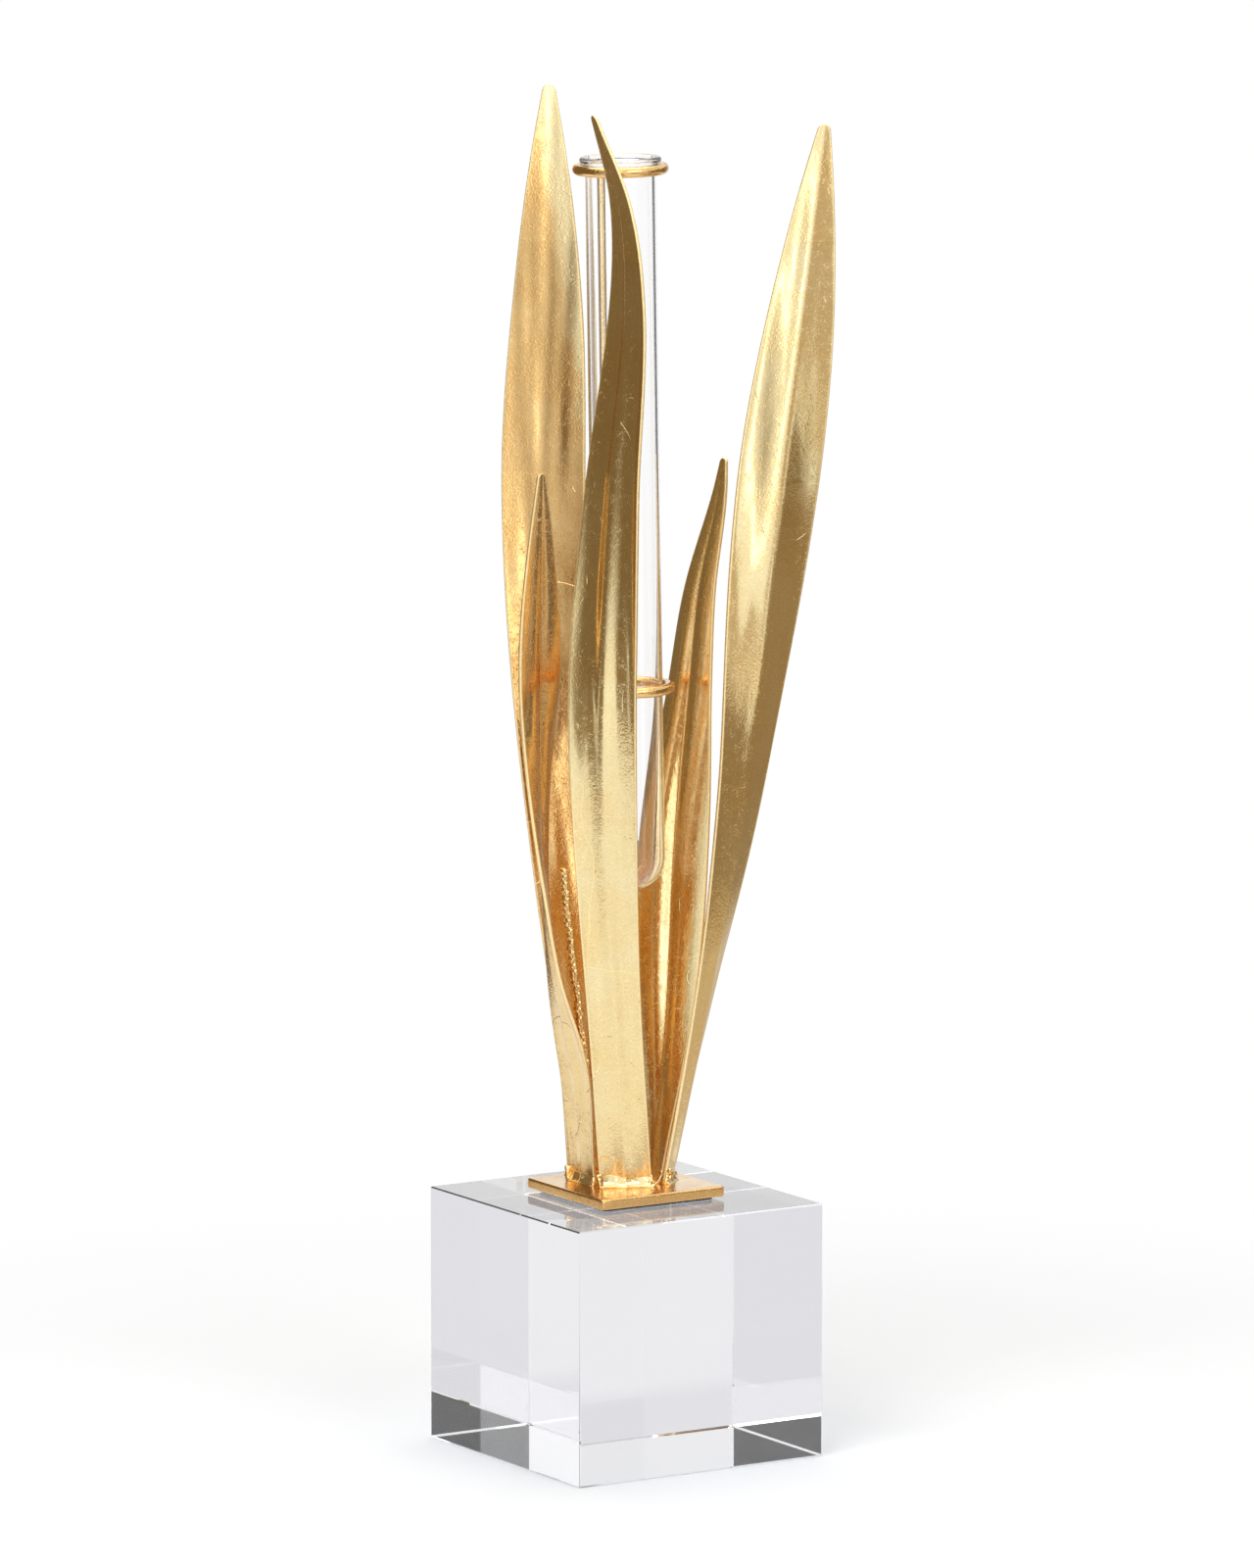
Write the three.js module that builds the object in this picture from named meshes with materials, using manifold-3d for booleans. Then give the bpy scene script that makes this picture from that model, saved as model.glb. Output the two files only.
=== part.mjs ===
// Bud vase: gilded sheet-metal leaves and a wire tube holder, welded to a square plate that is
// bonded to a clear bevelled block. A lipped glass tube hangs in the upper ring and lifts out.
// Millimetres, +Z up. The origin is the middle of the block's underside.

import * as THREE from "three";
import { mergeVertices } from "three/addons/utils/BufferGeometryUtils.js";
import Module from "manifold-3d";

const wasm = await Module();
wasm.setup();

// Crystal block, bonding pad and plate
const blockSide = 100;
const blockHeight = 90;
const blockBevel = 0.45;
const padSide = 45;
const padThickness = 1;
const plateSide = 51;
const plateThickness = 3.7;
const plateCornerRadius = 2;
const plateEdgeRadius = 0.8;

// Glass tube
const tubeDiameter = 24.5;
const tubeWall = 1.2;
const tubeLength = 257;
const lipDiameter = 28.5;
const lipThickness = 2;
const lipFillet = 1.2;

// Wire holder: heights are above the plate, places are measured from the plate's middle
const wireDiameter = 3.8;
const ringClearance = 0.65;
const upperRingHeight = 357;
const lowerRingHeight = 176;
const stemPlace = new THREE.Vector2(-0.098, 0.2157).multiplyScalar(plateSide);
const stemToTubeBearing = 25;
const holderLean = 0.77;

// Leaves: sheet cut in two sizes, with the shares of the height where it starts to swell and is widest
const sheetThickness = 1.2;
const tallLeaf = {
  height: 383,
  footWidth: 18.5,
  fullWidth: 30,
  swellShare: 0.1,
  fullShare: 0.645,
  tipRadius: 2.4,
};
const shortLeaf = {
  height: 253.5,
  footWidth: 14,
  fullWidth: 27,
  swellShare: 0,
  fullShare: 0.45,
  tipRadius: 1.9,
};

// Pressed forms: a middle fold, a flute on either side of it and lifted edges, or nearly plain halves
const fluted = { foldRise: 1.7, edgeRise: 1.1, fluteAt: 0.45, bow: 2 };
const wideFluted = { foldRise: 2.8, edgeRise: 1.9, fluteAt: 0.52, bow: 2 };
const folded = { foldRise: 4, edgeRise: 0, fluteAt: 0.95, bow: 1.4 };
const gentlyFolded = { foldRise: 1.5, edgeRise: 0, fluteAt: 0.95, bow: 1.2 };

// Welds and the rib in the left tall leaf
const seatGap = 0.3;
const weldLeg = 2.6;
const weldCrest = 0.5;
const ringWeldRadius = 2.6;
const ringWeldDrop = 1.6;
const ribDiameter = 2.2;
const ribHeight = 107;

// How finely round forms are faceted
const roundSteps = 40;
const wireSteps = 12;
const tubeEndSteps = 6;
const smallRoundSteps = 3;
const dropSteps = 9;
const leafRows = 24;
const tipRows = 4;
const tipFlatRow = 0.5;
const flutePoints = 2;
const weldRows = 2;
const ribRows = 8;
const ribSideFlat = 0.02;
const weldTogether = 1e-4;

// The bunch faces the front corner of the block rather than one of its sides
const bunchTurn = -32;

// A bearing or facing of 0 looks to the front of the bunch, and 90 to its right.
// A leaf's height is a share of its cut's, and its foot is placed in shares of the plate's side.
// Each station of a leaf gives the share of its height, then the bearing round the tube,
// the gap beyond the ring's outside and the way that the outer face looks.
const leaves = [
  {
    name: "front_leaf",
    cut: tallLeaf,
    form: wideFluted,
    heightShare: 0.987,
    foot: { x: 0, y: -0.1765, facing: 8 },
    stations: [
      [0.29, -38, -1.4, -10],
      [0.47, -29, 5, -30],
      [0.65, -17, 6.4, -52],
      [0.83, -4.5, 7.5, -60],
      [0.92, -11, 9, -62],
      [1, -28, 14, -64],
    ],
  },
  {
    name: "left_tall_leaf",
    cut: tallLeaf,
    form: gentlyFolded,
    heightShare: 1,
    foot: { x: -0.2451, y: 0.3137, facing: -150 },
    stations: [
      [0.09, -142.5, 12.2, -156],
      [0.27, -137.5, 19.8, -174],
      [0.45, -136, 26, -186],
      [0.63, -137, 29.8, -192],
      [0.81, -139, 29.3, -193],
      [1, -140, 29.5, -193],
    ],
  },
  {
    name: "right_tall_leaf",
    cut: tallLeaf,
    form: folded,
    heightShare: 0.97,
    foot: { x: 0.2941, y: 0.0784, facing: 86 },
    stations: [
      [0.19, 112, 11.5, 77],
      [0.32, 109, 20, 58],
      [0.47, 106, 27, 38],
      [0.65, 103.5, 34.4, 18],
      [0.82, 101, 42.2, 8],
      [1, 98.5, 50, 5],
    ],
  },
  {
    name: "left_short_leaf",
    cut: shortLeaf,
    form: fluted,
    heightShare: 0.99,
    foot: { x: -0.2941, y: -0.0294, facing: -53 },
    stations: [
      [0.15, -98, 4.2, -54],
      [0.29, -94, 10.9, -78],
      [0.43, -93, 14.6, -90],
      [0.6, -91.5, 16.2, -111],
      [0.78, -90, 16.2, -139],
      [1, -90, 15.9, -142],
    ],
  },
  {
    name: "right_short_leaf",
    cut: shortLeaf,
    form: fluted,
    heightShare: 1,
    foot: { x: 0.1882, y: 0.0588, facing: 115 },
    weldInside: true,
    stations: [
      [0.2, 137.5, -0.4, 150],
      [0.47, 137, 3.6, 152],
      [0.68, 133, 9.5, 131],
      [0.82, 131, 13.9, 130],
      [0.95, 127, 21, 130],
      [1, 127, 23.2, 130],
    ],
  },
];
const ribbedLeaf = "left_tall_leaf";

// Sizes that follow from those above
const plateTop = blockHeight + padThickness + plateThickness;
const tubeRadius = tubeDiameter / 2;
const wireRadius = wireDiameter / 2;
const ringRadius = tubeRadius + ringClearance + wireRadius;
const ringOutside = ringRadius + wireRadius;
const stemDistance = ringRadius + wireRadius + seatGap + wireRadius;
const tubePlace = bearingVector(stemToTubeBearing).multiplyScalar(stemDistance).add(stemPlace);

function bearingVector(degrees) {
  const angle = THREE.MathUtils.degToRad(degrees);
  return new THREE.Vector2(Math.sin(angle), -Math.cos(angle));
}

function finish(color, roughness, metalness) {
  return new THREE.MeshStandardMaterial({ color, roughness, metalness });
}

function gilding() {
  return finish("#d2a650", 0.32, 1);
}

function mesh(name, geometry, material) {
  const node = new THREE.Mesh(geometry, material);
  node.name = name;
  return node;
}

// Square with bevelled or rounded corners, extruded from z = 0 with the same treatment on its rims
function easedSlab(side, height, corner, rim, steps) {
  const half = side / 2;
  const inner = half - corner;
  const outline = new THREE.Shape();
  outline.absarc(inner, inner, corner, 0, Math.PI / 2);
  outline.absarc(-inner, inner, corner, Math.PI / 2, Math.PI);
  outline.absarc(-inner, -inner, corner, Math.PI, Math.PI * 1.5);
  outline.absarc(inner, -inner, corner, Math.PI * 1.5, Math.PI * 2);
  const slab = new THREE.ExtrudeGeometry(outline, {
    depth: height - 2 * rim,
    curveSegments: steps,
    bevelEnabled: rim > 0,
    bevelThickness: rim,
    bevelSize: rim,
    bevelOffset: -rim,
    bevelSegments: steps,
  });
  return slab.translate(0, 0, rim);
}

// Closed blade between an outer and an inner sheet of points, given row by row from the foot up
function bladeGeometry(rows) {
  const across = rows[0].outer.length;
  const points = rows.flatMap((row) => [...row.outer, ...row.inner]);
  const faces = [];
  const outer = (row, k) => row * across * 2 + k;
  const inner = (row, k) => outer(row, k) + across;
  const quad = (a, b, c, d) => faces.push(a, b, c, a, c, d);
  const last = rows.length - 1;
  for (let row = 0; row < last; row += 1) {
    for (let k = 0; k < across - 1; k += 1) {
      quad(outer(row, k), outer(row, k + 1), outer(row + 1, k + 1), outer(row + 1, k));
      quad(inner(row, k), inner(row + 1, k), inner(row + 1, k + 1), inner(row, k + 1));
    }
    quad(inner(row, 0), outer(row, 0), outer(row + 1, 0), inner(row + 1, 0));
    const end = across - 1;
    quad(outer(row, end), inner(row, end), inner(row + 1, end), outer(row + 1, end));
  }
  for (let k = 0; k < across - 1; k += 1) {
    quad(outer(0, k), inner(0, k), inner(0, k + 1), outer(0, k + 1));
    quad(outer(last, k), outer(last, k + 1), inner(last, k + 1), inner(last, k));
  }
  const geometry = new THREE.BufferGeometry().setFromPoints(points);
  geometry.setIndex(faces);
  geometry.computeVertexNormals();
  return geometry;
}

function leafHeight(leaf) {
  return leaf.cut.height * leaf.heightShare;
}

// Half the leaf's width at a height: it swells from the foot and tapers to a rounded tip
function leafHalfWidth(leaf, z) {
  const { footWidth, fullWidth, swellShare, fullShare, tipRadius } = leaf.cut;
  const height = leafHeight(leaf);
  const fullHeight = height * fullShare;
  if (z <= fullHeight) {
    const swell = THREE.MathUtils.smoothstep(z, height * swellShare, fullHeight);
    return THREE.MathUtils.lerp(footWidth, fullWidth, swell) / 2;
  }
  const shoulder = height - tipRadius;
  if (z <= shoulder) {
    const taper = (z - fullHeight) / (shoulder - fullHeight);
    return tipRadius + (fullWidth / 2 - tipRadius) * (1 - taper * taper);
  }
  return Math.sqrt(Math.max(0, tipRadius ** 2 - (z - shoulder) ** 2));
}

// How far the sheet stands out where it is widest, at a place across it from -1 to 1
function sheetRise(form, across) {
  const { foldRise, edgeRise, fluteAt, bow } = form;
  const side = Math.abs(across);
  if (side < fluteAt) {
    return foldRise * (1 - side / fluteAt) ** bow;
  }
  return edgeRise * ((side - fluteAt) / (1 - fluteAt)) ** 2;
}

// Smooth run of a leaf's middle line and facing with height
function leafRun(leaf) {
  const heights = [0];
  const values = [leaf.foot.x * plateSide, leaf.foot.y * plateSide, leaf.foot.facing];
  for (const [share, bearing, gap, facing] of leaf.stations) {
    const place = bearingVector(bearing).multiplyScalar(ringOutside + gap).add(tubePlace);
    heights.push(leafHeight(leaf) * share);
    values.push(place.x, place.y, facing);
  }
  return new THREE.CubicInterpolant(heights, values, 3);
}

// Functions that give points of one leaf's outer face, and the way it looks at a height
function leafShape(leaf) {
  const run = leafRun(leaf);
  const at = (z) => {
    const [x, y, facing] = run.evaluate(z);
    const outward = bearingVector(facing);
    return { middle: new THREE.Vector2(x, y), outward, sideways: new THREE.Vector2(-outward.y, outward.x) };
  };
  const facePoint = (across, z, standOff = 0) => {
    const { middle, outward, sideways } = at(z);
    const halfWidth = leafHalfWidth(leaf, z);
    const spread = halfWidth / (leaf.cut.fullWidth / 2);
    const rise = sheetRise(leaf.form, across) * spread ** 2 + standOff;
    const plan = middle.clone().addScaledVector(sideways, across * halfWidth).addScaledVector(outward, rise);
    return new THREE.Vector3(plan.x, plan.y, z);
  };
  return { at, facePoint };
}

// Places across the sheet: each flute and each edge band gets the same number of points
function acrossPlaces({ fluteAt }) {
  const half = [];
  for (let k = 1; k <= flutePoints; k += 1) {
    half.push((fluteAt * k) / flutePoints);
  }
  for (let k = 1; k <= flutePoints; k += 1) {
    half.push(fluteAt + ((1 - fluteAt) * k) / flutePoints);
  }
  return [...half.map((place) => -place).reverse(), 0, ...half];
}

function leafHeights(leaf) {
  const shoulder = leafHeight(leaf) - leaf.cut.tipRadius;
  const heights = [];
  for (let row = 0; row <= leafRows; row += 1) {
    heights.push((shoulder * row) / leafRows);
  }
  for (let row = 1; row <= tipRows; row += 1) {
    const angle = ((Math.PI / 2) * row) / (tipRows + tipFlatRow);
    heights.push(shoulder + leaf.cut.tipRadius * Math.sin(angle));
  }
  return heights;
}

function leafGeometry(leaf) {
  const { facePoint } = leafShape(leaf);
  const places = acrossPlaces(leaf.form);
  const rows = leafHeights(leaf).map((z) => ({
    outer: places.map((across) => facePoint(across, z)),
    inner: places.map((across) => facePoint(across, z, -sheetThickness)),
  }));
  return bladeGeometry(rows);
}

// Bead of weld along one side of a leaf's foot, hollow like a fillet
function leafWeldGeometry(leaf) {
  const { facePoint } = leafShape(leaf);
  const places = acrossPlaces(leaf.form);
  const rows = [];
  for (let row = 0; row <= weldRows; row += 1) {
    const level = row / weldRows;
    const z = level * weldLeg;
    const bulge = weldCrest + (weldLeg - weldCrest) * (1 - level) ** 2;
    const near = leaf.weldInside ? -sheetThickness - seatGap - bulge : seatGap;
    rows.push({
      outer: places.map((across) => facePoint(across, z, near + bulge)),
      inner: places.map((across) => facePoint(across, z, near)),
    });
  }
  return bladeGeometry(rows);
}

// Round rod in the fold on the inner face of a leaf, from the plate up, with a sliver of flat on either side
function leafRibGeometry(leaf) {
  const { at, facePoint } = leafShape(leaf);
  const radius = ribDiameter / 2;
  const { foldRise, fluteAt, bow } = leaf.form;
  const foldSlope = (bow * foldRise) / (fluteAt * (leaf.cut.fullWidth / 2));
  const seat = (radius + seatGap) * Math.hypot(1, foldSlope);
  const rows = [];
  const halfSteps = wireSteps / 2;
  for (let row = 0; row <= ribRows; row += 1) {
    const z = (ribHeight * row) / ribRows;
    const middle = facePoint(0, z, -sheetThickness - seat);
    const { outward, sideways } = at(z);
    const edge = (step, side) => {
      const angle = Math.PI * THREE.MathUtils.lerp(ribSideFlat, 1 - ribSideFlat, step / halfSteps);
      const out = side * radius * Math.sin(angle);
      const along = -radius * Math.cos(angle);
      const x = middle.x + outward.x * out + sideways.x * along;
      const y = middle.y + outward.y * out + sideways.y * along;
      return new THREE.Vector3(x, y, z);
    };
    const steps = Array.from({ length: halfSteps + 1 }, (_, step) => step);
    rows.push({ outer: steps.map((step) => edge(step, 1)), inner: steps.map((step) => edge(step, -1)) });
  }
  return bladeGeometry(rows);
}

// Solid of revolution about Z from a closed profile of [radius, height] points
function revolved(profile) {
  const points = profile.map(([radius, z]) => new THREE.Vector2(radius, z));
  const lathe = new THREE.LatheGeometry(points, roundSteps);
  return lathe.rotateX(Math.PI / 2);
}

function arcPoints(radius, centreRadius, centreZ, from, to, steps) {
  const points = [];
  for (let step = 0; step <= steps; step += 1) {
    const angle = THREE.MathUtils.degToRad(from + ((to - from) * step) / steps);
    points.push([centreRadius + radius * Math.cos(angle), centreZ + radius * Math.sin(angle)]);
  }
  return points;
}

// Glass tube with its ring seat at z = 0: the lip's underside rests on the ring's upper shoulder
function tubeGeometry() {
  const lipRadius = lipDiameter / 2;
  const overhang = Math.max(0, ringRadius - lipRadius);
  const lipUnder = Math.sqrt(wireRadius ** 2 - overhang ** 2) + seatGap;
  const lipTop = lipUnder + lipThickness;
  const bottom = lipTop - tubeLength;
  const bore = tubeRadius - tubeWall;
  const lipRound = lipThickness / 2;
  const outerEnd = arcPoints(tubeRadius, 0, bottom + tubeRadius, -90, 0, tubeEndSteps);
  const neck = tubeRadius + lipFillet;
  const underLip = arcPoints(lipFillet, neck, lipUnder - lipFillet, 180, 90, smallRoundSteps);
  const rim = arcPoints(lipRound, lipRadius - lipRound, lipUnder + lipRound, -90, 90, 2 * smallRoundSteps);
  const throat = arcPoints(lipFillet, bore + lipFillet, lipTop - lipFillet, 90, 180, smallRoundSteps);
  const innerEnd = arcPoints(bore, 0, bottom + tubeRadius, 0, -90, tubeEndSteps);
  outerEnd[0][0] = 0;
  innerEnd[innerEnd.length - 1][0] = 0;
  return revolved([...outerEnd, ...underLip, ...rim, ...throat, ...innerEnd]);
}

function ringGeometry() {
  return new THREE.TorusGeometry(ringRadius, wireRadius, wireSteps, roundSteps);
}

function uprightRod(radius, from, to) {
  const rod = new THREE.CylinderGeometry(radius, radius, to - from, roundSteps / 2);
  return rod.rotateX(Math.PI / 2).translate(0, 0, (from + to) / 2);
}

// Hollow collar of weld round the stem's foot
function stemWeldGeometry() {
  const inside = wireRadius + seatGap;
  const hollow = arcPoints(weldLeg - weldCrest, inside + weldLeg, weldLeg, -90, -180, smallRoundSteps);
  const profile = [[inside, 0], ...hollow, [inside, weldLeg], [inside, 0]];
  return revolved(profile);
}

function solid(geometry) {
  const bare = geometry.clone();
  bare.deleteAttribute("normal");
  bare.deleteAttribute("uv");
  const welded = mergeVertices(bare, weldTogether);
  const vertProperties = new Float32Array(welded.attributes.position.array);
  const triVerts = new Uint32Array(welded.index.array);
  return new wasm.Manifold(new wasm.Mesh({ numProp: 3, vertProperties, triVerts }));
}

function solidGeometry(body) {
  const { vertProperties, triVerts } = body.getMesh();
  const geometry = new THREE.BufferGeometry();
  geometry.setAttribute("position", new THREE.BufferAttribute(new Float32Array(vertProperties), 3));
  geometry.setIndex(new THREE.BufferAttribute(new Uint32Array(triVerts), 1));
  geometry.computeVertexNormals();
  return geometry;
}

// Drop of weld in the corner under a ring, where the ring meets the stem. The stem is at x = y = 0.
function ringWeldGeometry(tubeOffset) {
  const towardsTube = tubeOffset.clone().normalize();
  const middle = towardsTube.clone().multiplyScalar(stemDistance - ringOutside);
  const drop = new THREE.SphereGeometry(ringWeldRadius, 2 * dropSteps, dropSteps);
  drop.translate(middle.x, middle.y, -ringWeldDrop);
  const ring = new THREE.TorusGeometry(ringRadius, wireRadius + seatGap, wireSteps, roundSteps);
  ring.translate(tubeOffset.x, tubeOffset.y, 0);
  const reach = ringWeldRadius + ringWeldDrop + wireRadius;
  const stem = uprightRod(wireRadius + seatGap, -reach, reach);
  return solidGeometry(solid(drop).subtract(solid(ring)).subtract(solid(stem)));
}

function buildBase() {
  const base = new THREE.Group();
  const block = easedSlab(blockSide, blockHeight, blockBevel, blockBevel, 1);
  base.add(mesh("crystal_block", block, finish("#eef0f2", 0.04, 0)));
  const padForm = easedSlab(padSide, padThickness, plateCornerRadius, 0, smallRoundSteps);
  const pad = mesh("bonding_pad", padForm, finish("#f2f2ee", 0.2, 0));
  pad.position.z = blockHeight;
  base.add(pad);
  const plateForm = easedSlab(plateSide, plateThickness, plateCornerRadius, plateEdgeRadius, smallRoundSteps);
  const plate = mesh("base_plate", plateForm, gilding());
  plate.position.z = blockHeight + padThickness;
  base.add(plate);
  return base;
}

function buildLeaves() {
  const bunch = new THREE.Group();
  for (const leaf of leaves) {
    bunch.add(mesh(leaf.name, leafGeometry(leaf), gilding()));
    bunch.add(mesh(`${leaf.name}_weld`, leafWeldGeometry(leaf), gilding()));
    if (leaf.name === ribbedLeaf) {
      bunch.add(mesh("leaf_rib", leafRibGeometry(leaf), gilding()));
    }
  }
  return bunch;
}

// Stem, rings and tube lean together about the stem's foot
function buildHolder() {
  const holder = new THREE.Group();
  holder.position.set(stemPlace.x, stemPlace.y, 0);
  const stemWeld = mesh("stem_weld", stemWeldGeometry(), gilding());
  holder.add(stemWeld);
  const leaning = new THREE.Group();
  leaning.rotation.y = THREE.MathUtils.degToRad(-holderLean);
  holder.add(leaning);
  leaning.add(mesh("stem", uprightRod(wireRadius, seatGap, upperRingHeight), gilding()));
  const tubeOffset = tubePlace.clone().sub(stemPlace);
  const ringHeights = { upper: upperRingHeight, lower: lowerRingHeight };
  for (const [level, height] of Object.entries(ringHeights)) {
    const ring = mesh(`${level}_ring`, ringGeometry(), gilding());
    ring.position.set(tubeOffset.x, tubeOffset.y, height);
    const weld = mesh(`${level}_ring_weld`, ringWeldGeometry(tubeOffset), gilding());
    weld.position.z = height;
    leaning.add(ring, weld);
  }
  const tube = mesh("glass_tube", tubeGeometry(), finish("#f3f6f6", 0.03, 0));
  tube.position.set(tubeOffset.x, tubeOffset.y, upperRingHeight);
  leaning.add(tube);
  return holder;
}

function buildVase() {
  const vase = new THREE.Group();
  vase.add(buildBase());
  const bunch = new THREE.Group();
  bunch.position.z = plateTop;
  bunch.rotation.z = THREE.MathUtils.degToRad(bunchTurn);
  bunch.add(buildLeaves(), buildHolder());
  vase.add(bunch);
  return vase;
}

export default buildVase();
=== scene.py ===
"""Looks of a bud vase: gilded leaves and a wire holder on a crystal block, with a lipped glass tube."""

from functools import partial
from math import cos, pi, radians, sin, sqrt, tau

import bmesh
import bpy
from bpy.props import FloatProperty, FloatVectorProperty, IntProperty, PointerProperty
from bpy.types import NodeSocket, Operator, Panel, PropertyGroup
from mathutils import Matrix, Vector, noise


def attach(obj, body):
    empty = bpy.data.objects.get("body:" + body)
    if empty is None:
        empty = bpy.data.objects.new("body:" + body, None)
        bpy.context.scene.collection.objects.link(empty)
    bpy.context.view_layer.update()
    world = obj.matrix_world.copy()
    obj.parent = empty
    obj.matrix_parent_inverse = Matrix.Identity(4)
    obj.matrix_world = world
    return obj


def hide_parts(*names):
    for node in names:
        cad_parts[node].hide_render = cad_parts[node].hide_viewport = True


bl_info = {
    "name": "Gilded Bud Vase",
    "version": (1, 0, 0),
    "blender": (4, 5, 0),
    "location": "View3D > Sidebar > Bud Vase",
    "description": "Builds the finished surfaces of a gilded leaf bud vase on a crystal block",
    "category": "Add Mesh",
}

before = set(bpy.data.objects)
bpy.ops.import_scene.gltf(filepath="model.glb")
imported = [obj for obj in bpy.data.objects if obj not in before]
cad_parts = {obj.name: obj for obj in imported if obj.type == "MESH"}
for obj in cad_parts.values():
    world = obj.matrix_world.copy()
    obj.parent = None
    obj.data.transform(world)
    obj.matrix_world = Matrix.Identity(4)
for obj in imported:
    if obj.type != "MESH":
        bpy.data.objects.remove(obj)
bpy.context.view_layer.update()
MM = 0.001
WHITE = (1, 1, 1, 1)

# Places and sizes of the solid model, in millimetres and degrees
PLATE_TOP = 94.7
BUNCH_TURN = -32
STEM_PLACE = Vector((-5, 11))
STEM_TO_TUBE = 25
HOLDER_LEAN = 0.77
STEM_DISTANCE = 18.9
RING_RADIUS = 14.8
RING_OUTSIDE = 16.7
RING_HEIGHTS = {"upper": 357, "lower": 176}
TUBE_MIDDLE = Vector((
    STEM_PLACE.x + STEM_DISTANCE * sin(radians(STEM_TO_TUBE)),
    STEM_PLACE.y - STEM_DISTANCE * cos(radians(STEM_TO_TUBE)),
))
TUBE_OFFSET = TUBE_MIDDLE - STEM_PLACE

# Cuts of leaf, with the shares of the height where it starts to swell and where it is widest
CUT = ("Foot width", "Full width", "Swell share", "Full share", "Tip radius")
TALL = dict(zip(CUT, (18.5, 30, 0.1, 0.645, 2.4)))
SHORT = dict(zip(CUT, (14, 27, 0, 0.45, 1.9)))

# Forms of the sheet: rise of the middle fold and of the edges, place of the flutes, how the fold falls away
# and the rounding of its crest as shares of the half width, and how uneven the hand forming left it
FORM = ("Fold rise", "Edge rise", "Flute place", "Bow", "Crest", "Uneven")
FLUTED = dict(zip(FORM, (1.7, 1.1, 0.45, 2, 0.08, 0.6)))
FRONT = dict(zip(FORM, (2.3, 1.9, 0.52, 2, 0.2, 0.8)))
LEFT = dict(zip(FORM, (1.5, 0, 1.1, 1, 0.1, 1.8)))
RIGHT = dict(zip(FORM, (4, 0, 0.98, 1.3, 0.14, 1.8)))

# Each leaf: its cut, form, height, foot (x, y, facing), the side of the sheet that its weld is on, its dents
# and its stations. A dent is the place across, the height and the depth. A station is the share of the
# height, the bearing round the tube, the gap beyond the ring and the facing.
OUTER, INNER = 1, -1
DENTS = ("Dent 1", "Dent 2", "Dent 3")
LEAVES = {
    "front_leaf": (
        TALL, FRONT, 378, (0, -9, 8), OUTER, ((-7.5, 170, -0.8), (4, 205, -0.3), (7, 90, 0.3)),
        ((0.29, -38, -1.4, -10), (0.47, -29, 5, -30), (0.65, -17, 6.4, -52),
         (0.83, -4.5, 7.5, -60), (0.92, -11, 9, -62), (1, -28, 14, -64))),
    "left_tall_leaf": (
        TALL, LEFT, 383, (-12.5, 16, -150), OUTER, ((-8, 312, 0.4), (-1, 330, 0.4), (-1, 232, 0.5)),
        ((0.09, -142.5, 12.2, -156), (0.27, -137.5, 19.8, -174), (0.45, -136, 26, -186),
         (0.63, -137, 29.8, -192), (0.81, -139, 29.3, -192), (1, -140, 29.5, -183))),
    "right_tall_leaf": (
        TALL, RIGHT, 371.5, (15, 4, 83), OUTER, ((-12, 277, 1.2), (-1, 240, -0.9), (-13, 152, -0.6)),
        ((0.19, 112, 11.5, 69), (0.32, 109, 20, 53), (0.47, 106, 27, 38),
         (0.65, 103.5, 34.4, 18), (0.82, 101, 42.2, 8), (1, 98.5, 50, 5))),
    "left_short_leaf": (
        SHORT, FLUTED, 251, (-15, -1.5, -53), OUTER, ((4, 180, 0.4), (-5, 120, 0.3), (3, 60, 0.3)),
        ((0.15, -98, 4.2, -54), (0.29, -94, 10.9, -78), (0.43, -93, 14.6, -90),
         (0.6, -91.5, 16.2, -111), (0.78, -90, 16.2, -139), (1, -90, 15.9, -142))),
    "right_short_leaf": (
        SHORT, FLUTED, 253.5, (9.6, 3, 115), INNER, ((-5, 110, -0.4), (5, 170, 0.3), (4, 60, 0.3)),
        ((0.2, 137.5, -0.4, 150), (0.47, 137, 3.6, 152), (0.68, 133, 9.5, 131),
         (0.82, 131, 13.9, 130), (0.95, 127, 21, 130), (1, 127, 23.2, 130))),
}
SATIN = ("left_tall_leaf", "left_short_leaf")  # leaves with a duller, deeper gilding
SOFT = ("right_short_leaf",)  # leaves that are less polished

# Painted highlight on satin leaves, in paler gold: the height from which it covers the top and up to which it
# covers the foot, its strength there, how far its border rises for each step across the leaf, and where the
# border starts and ends beyond that height, with the size and depth of its rag in metres
PALE_ABOVE = {"left_tall_leaf": 350}
PALE_BELOW = {"left_short_leaf": 80}
PALE_FOOT = 0.5
PALE_LEAN = -6
PALE_BORDER = (0.01, 0.04)
PALE_GRAIN, PALE_RAG = 0.012, 0.05

# Lumps of weld spatter on the corners of each leaf's foot: their number, how high they climb the left and the
# right corner, how far they stray sideways as a share of the half width, and where they sit off the sheet
SPATTER = {"front_leaf": 22, "left_tall_leaf": 5, "right_tall_leaf": 8, "left_short_leaf": 30,
           "right_short_leaf": 5}
SPATTER_CLIMB = {-1: 2.6, 1: 1}
SPATTER_STRAY, SPATTER_OFF, SPATTER_DEPTH = 0.07, 0.5, 0.7

# Rib on the inner face of one leaf: its height, how far it stands off, and its lumps' radius and spacing
RIBBED_LEAF = "left_tall_leaf"
RIB_HEIGHT, RIB_OFF, RIB_LUMP, RIB_STEP = 107, 1.7, 1.15, 1.1

# Welds of the rings: number and radius of their lumps, half the width and height of their oval, and its drop
RING_LUMPS, RING_LUMP, RING_OVAL, RING_DROP = 9, 1.5, (1.3, 0.9), 1.7
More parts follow.
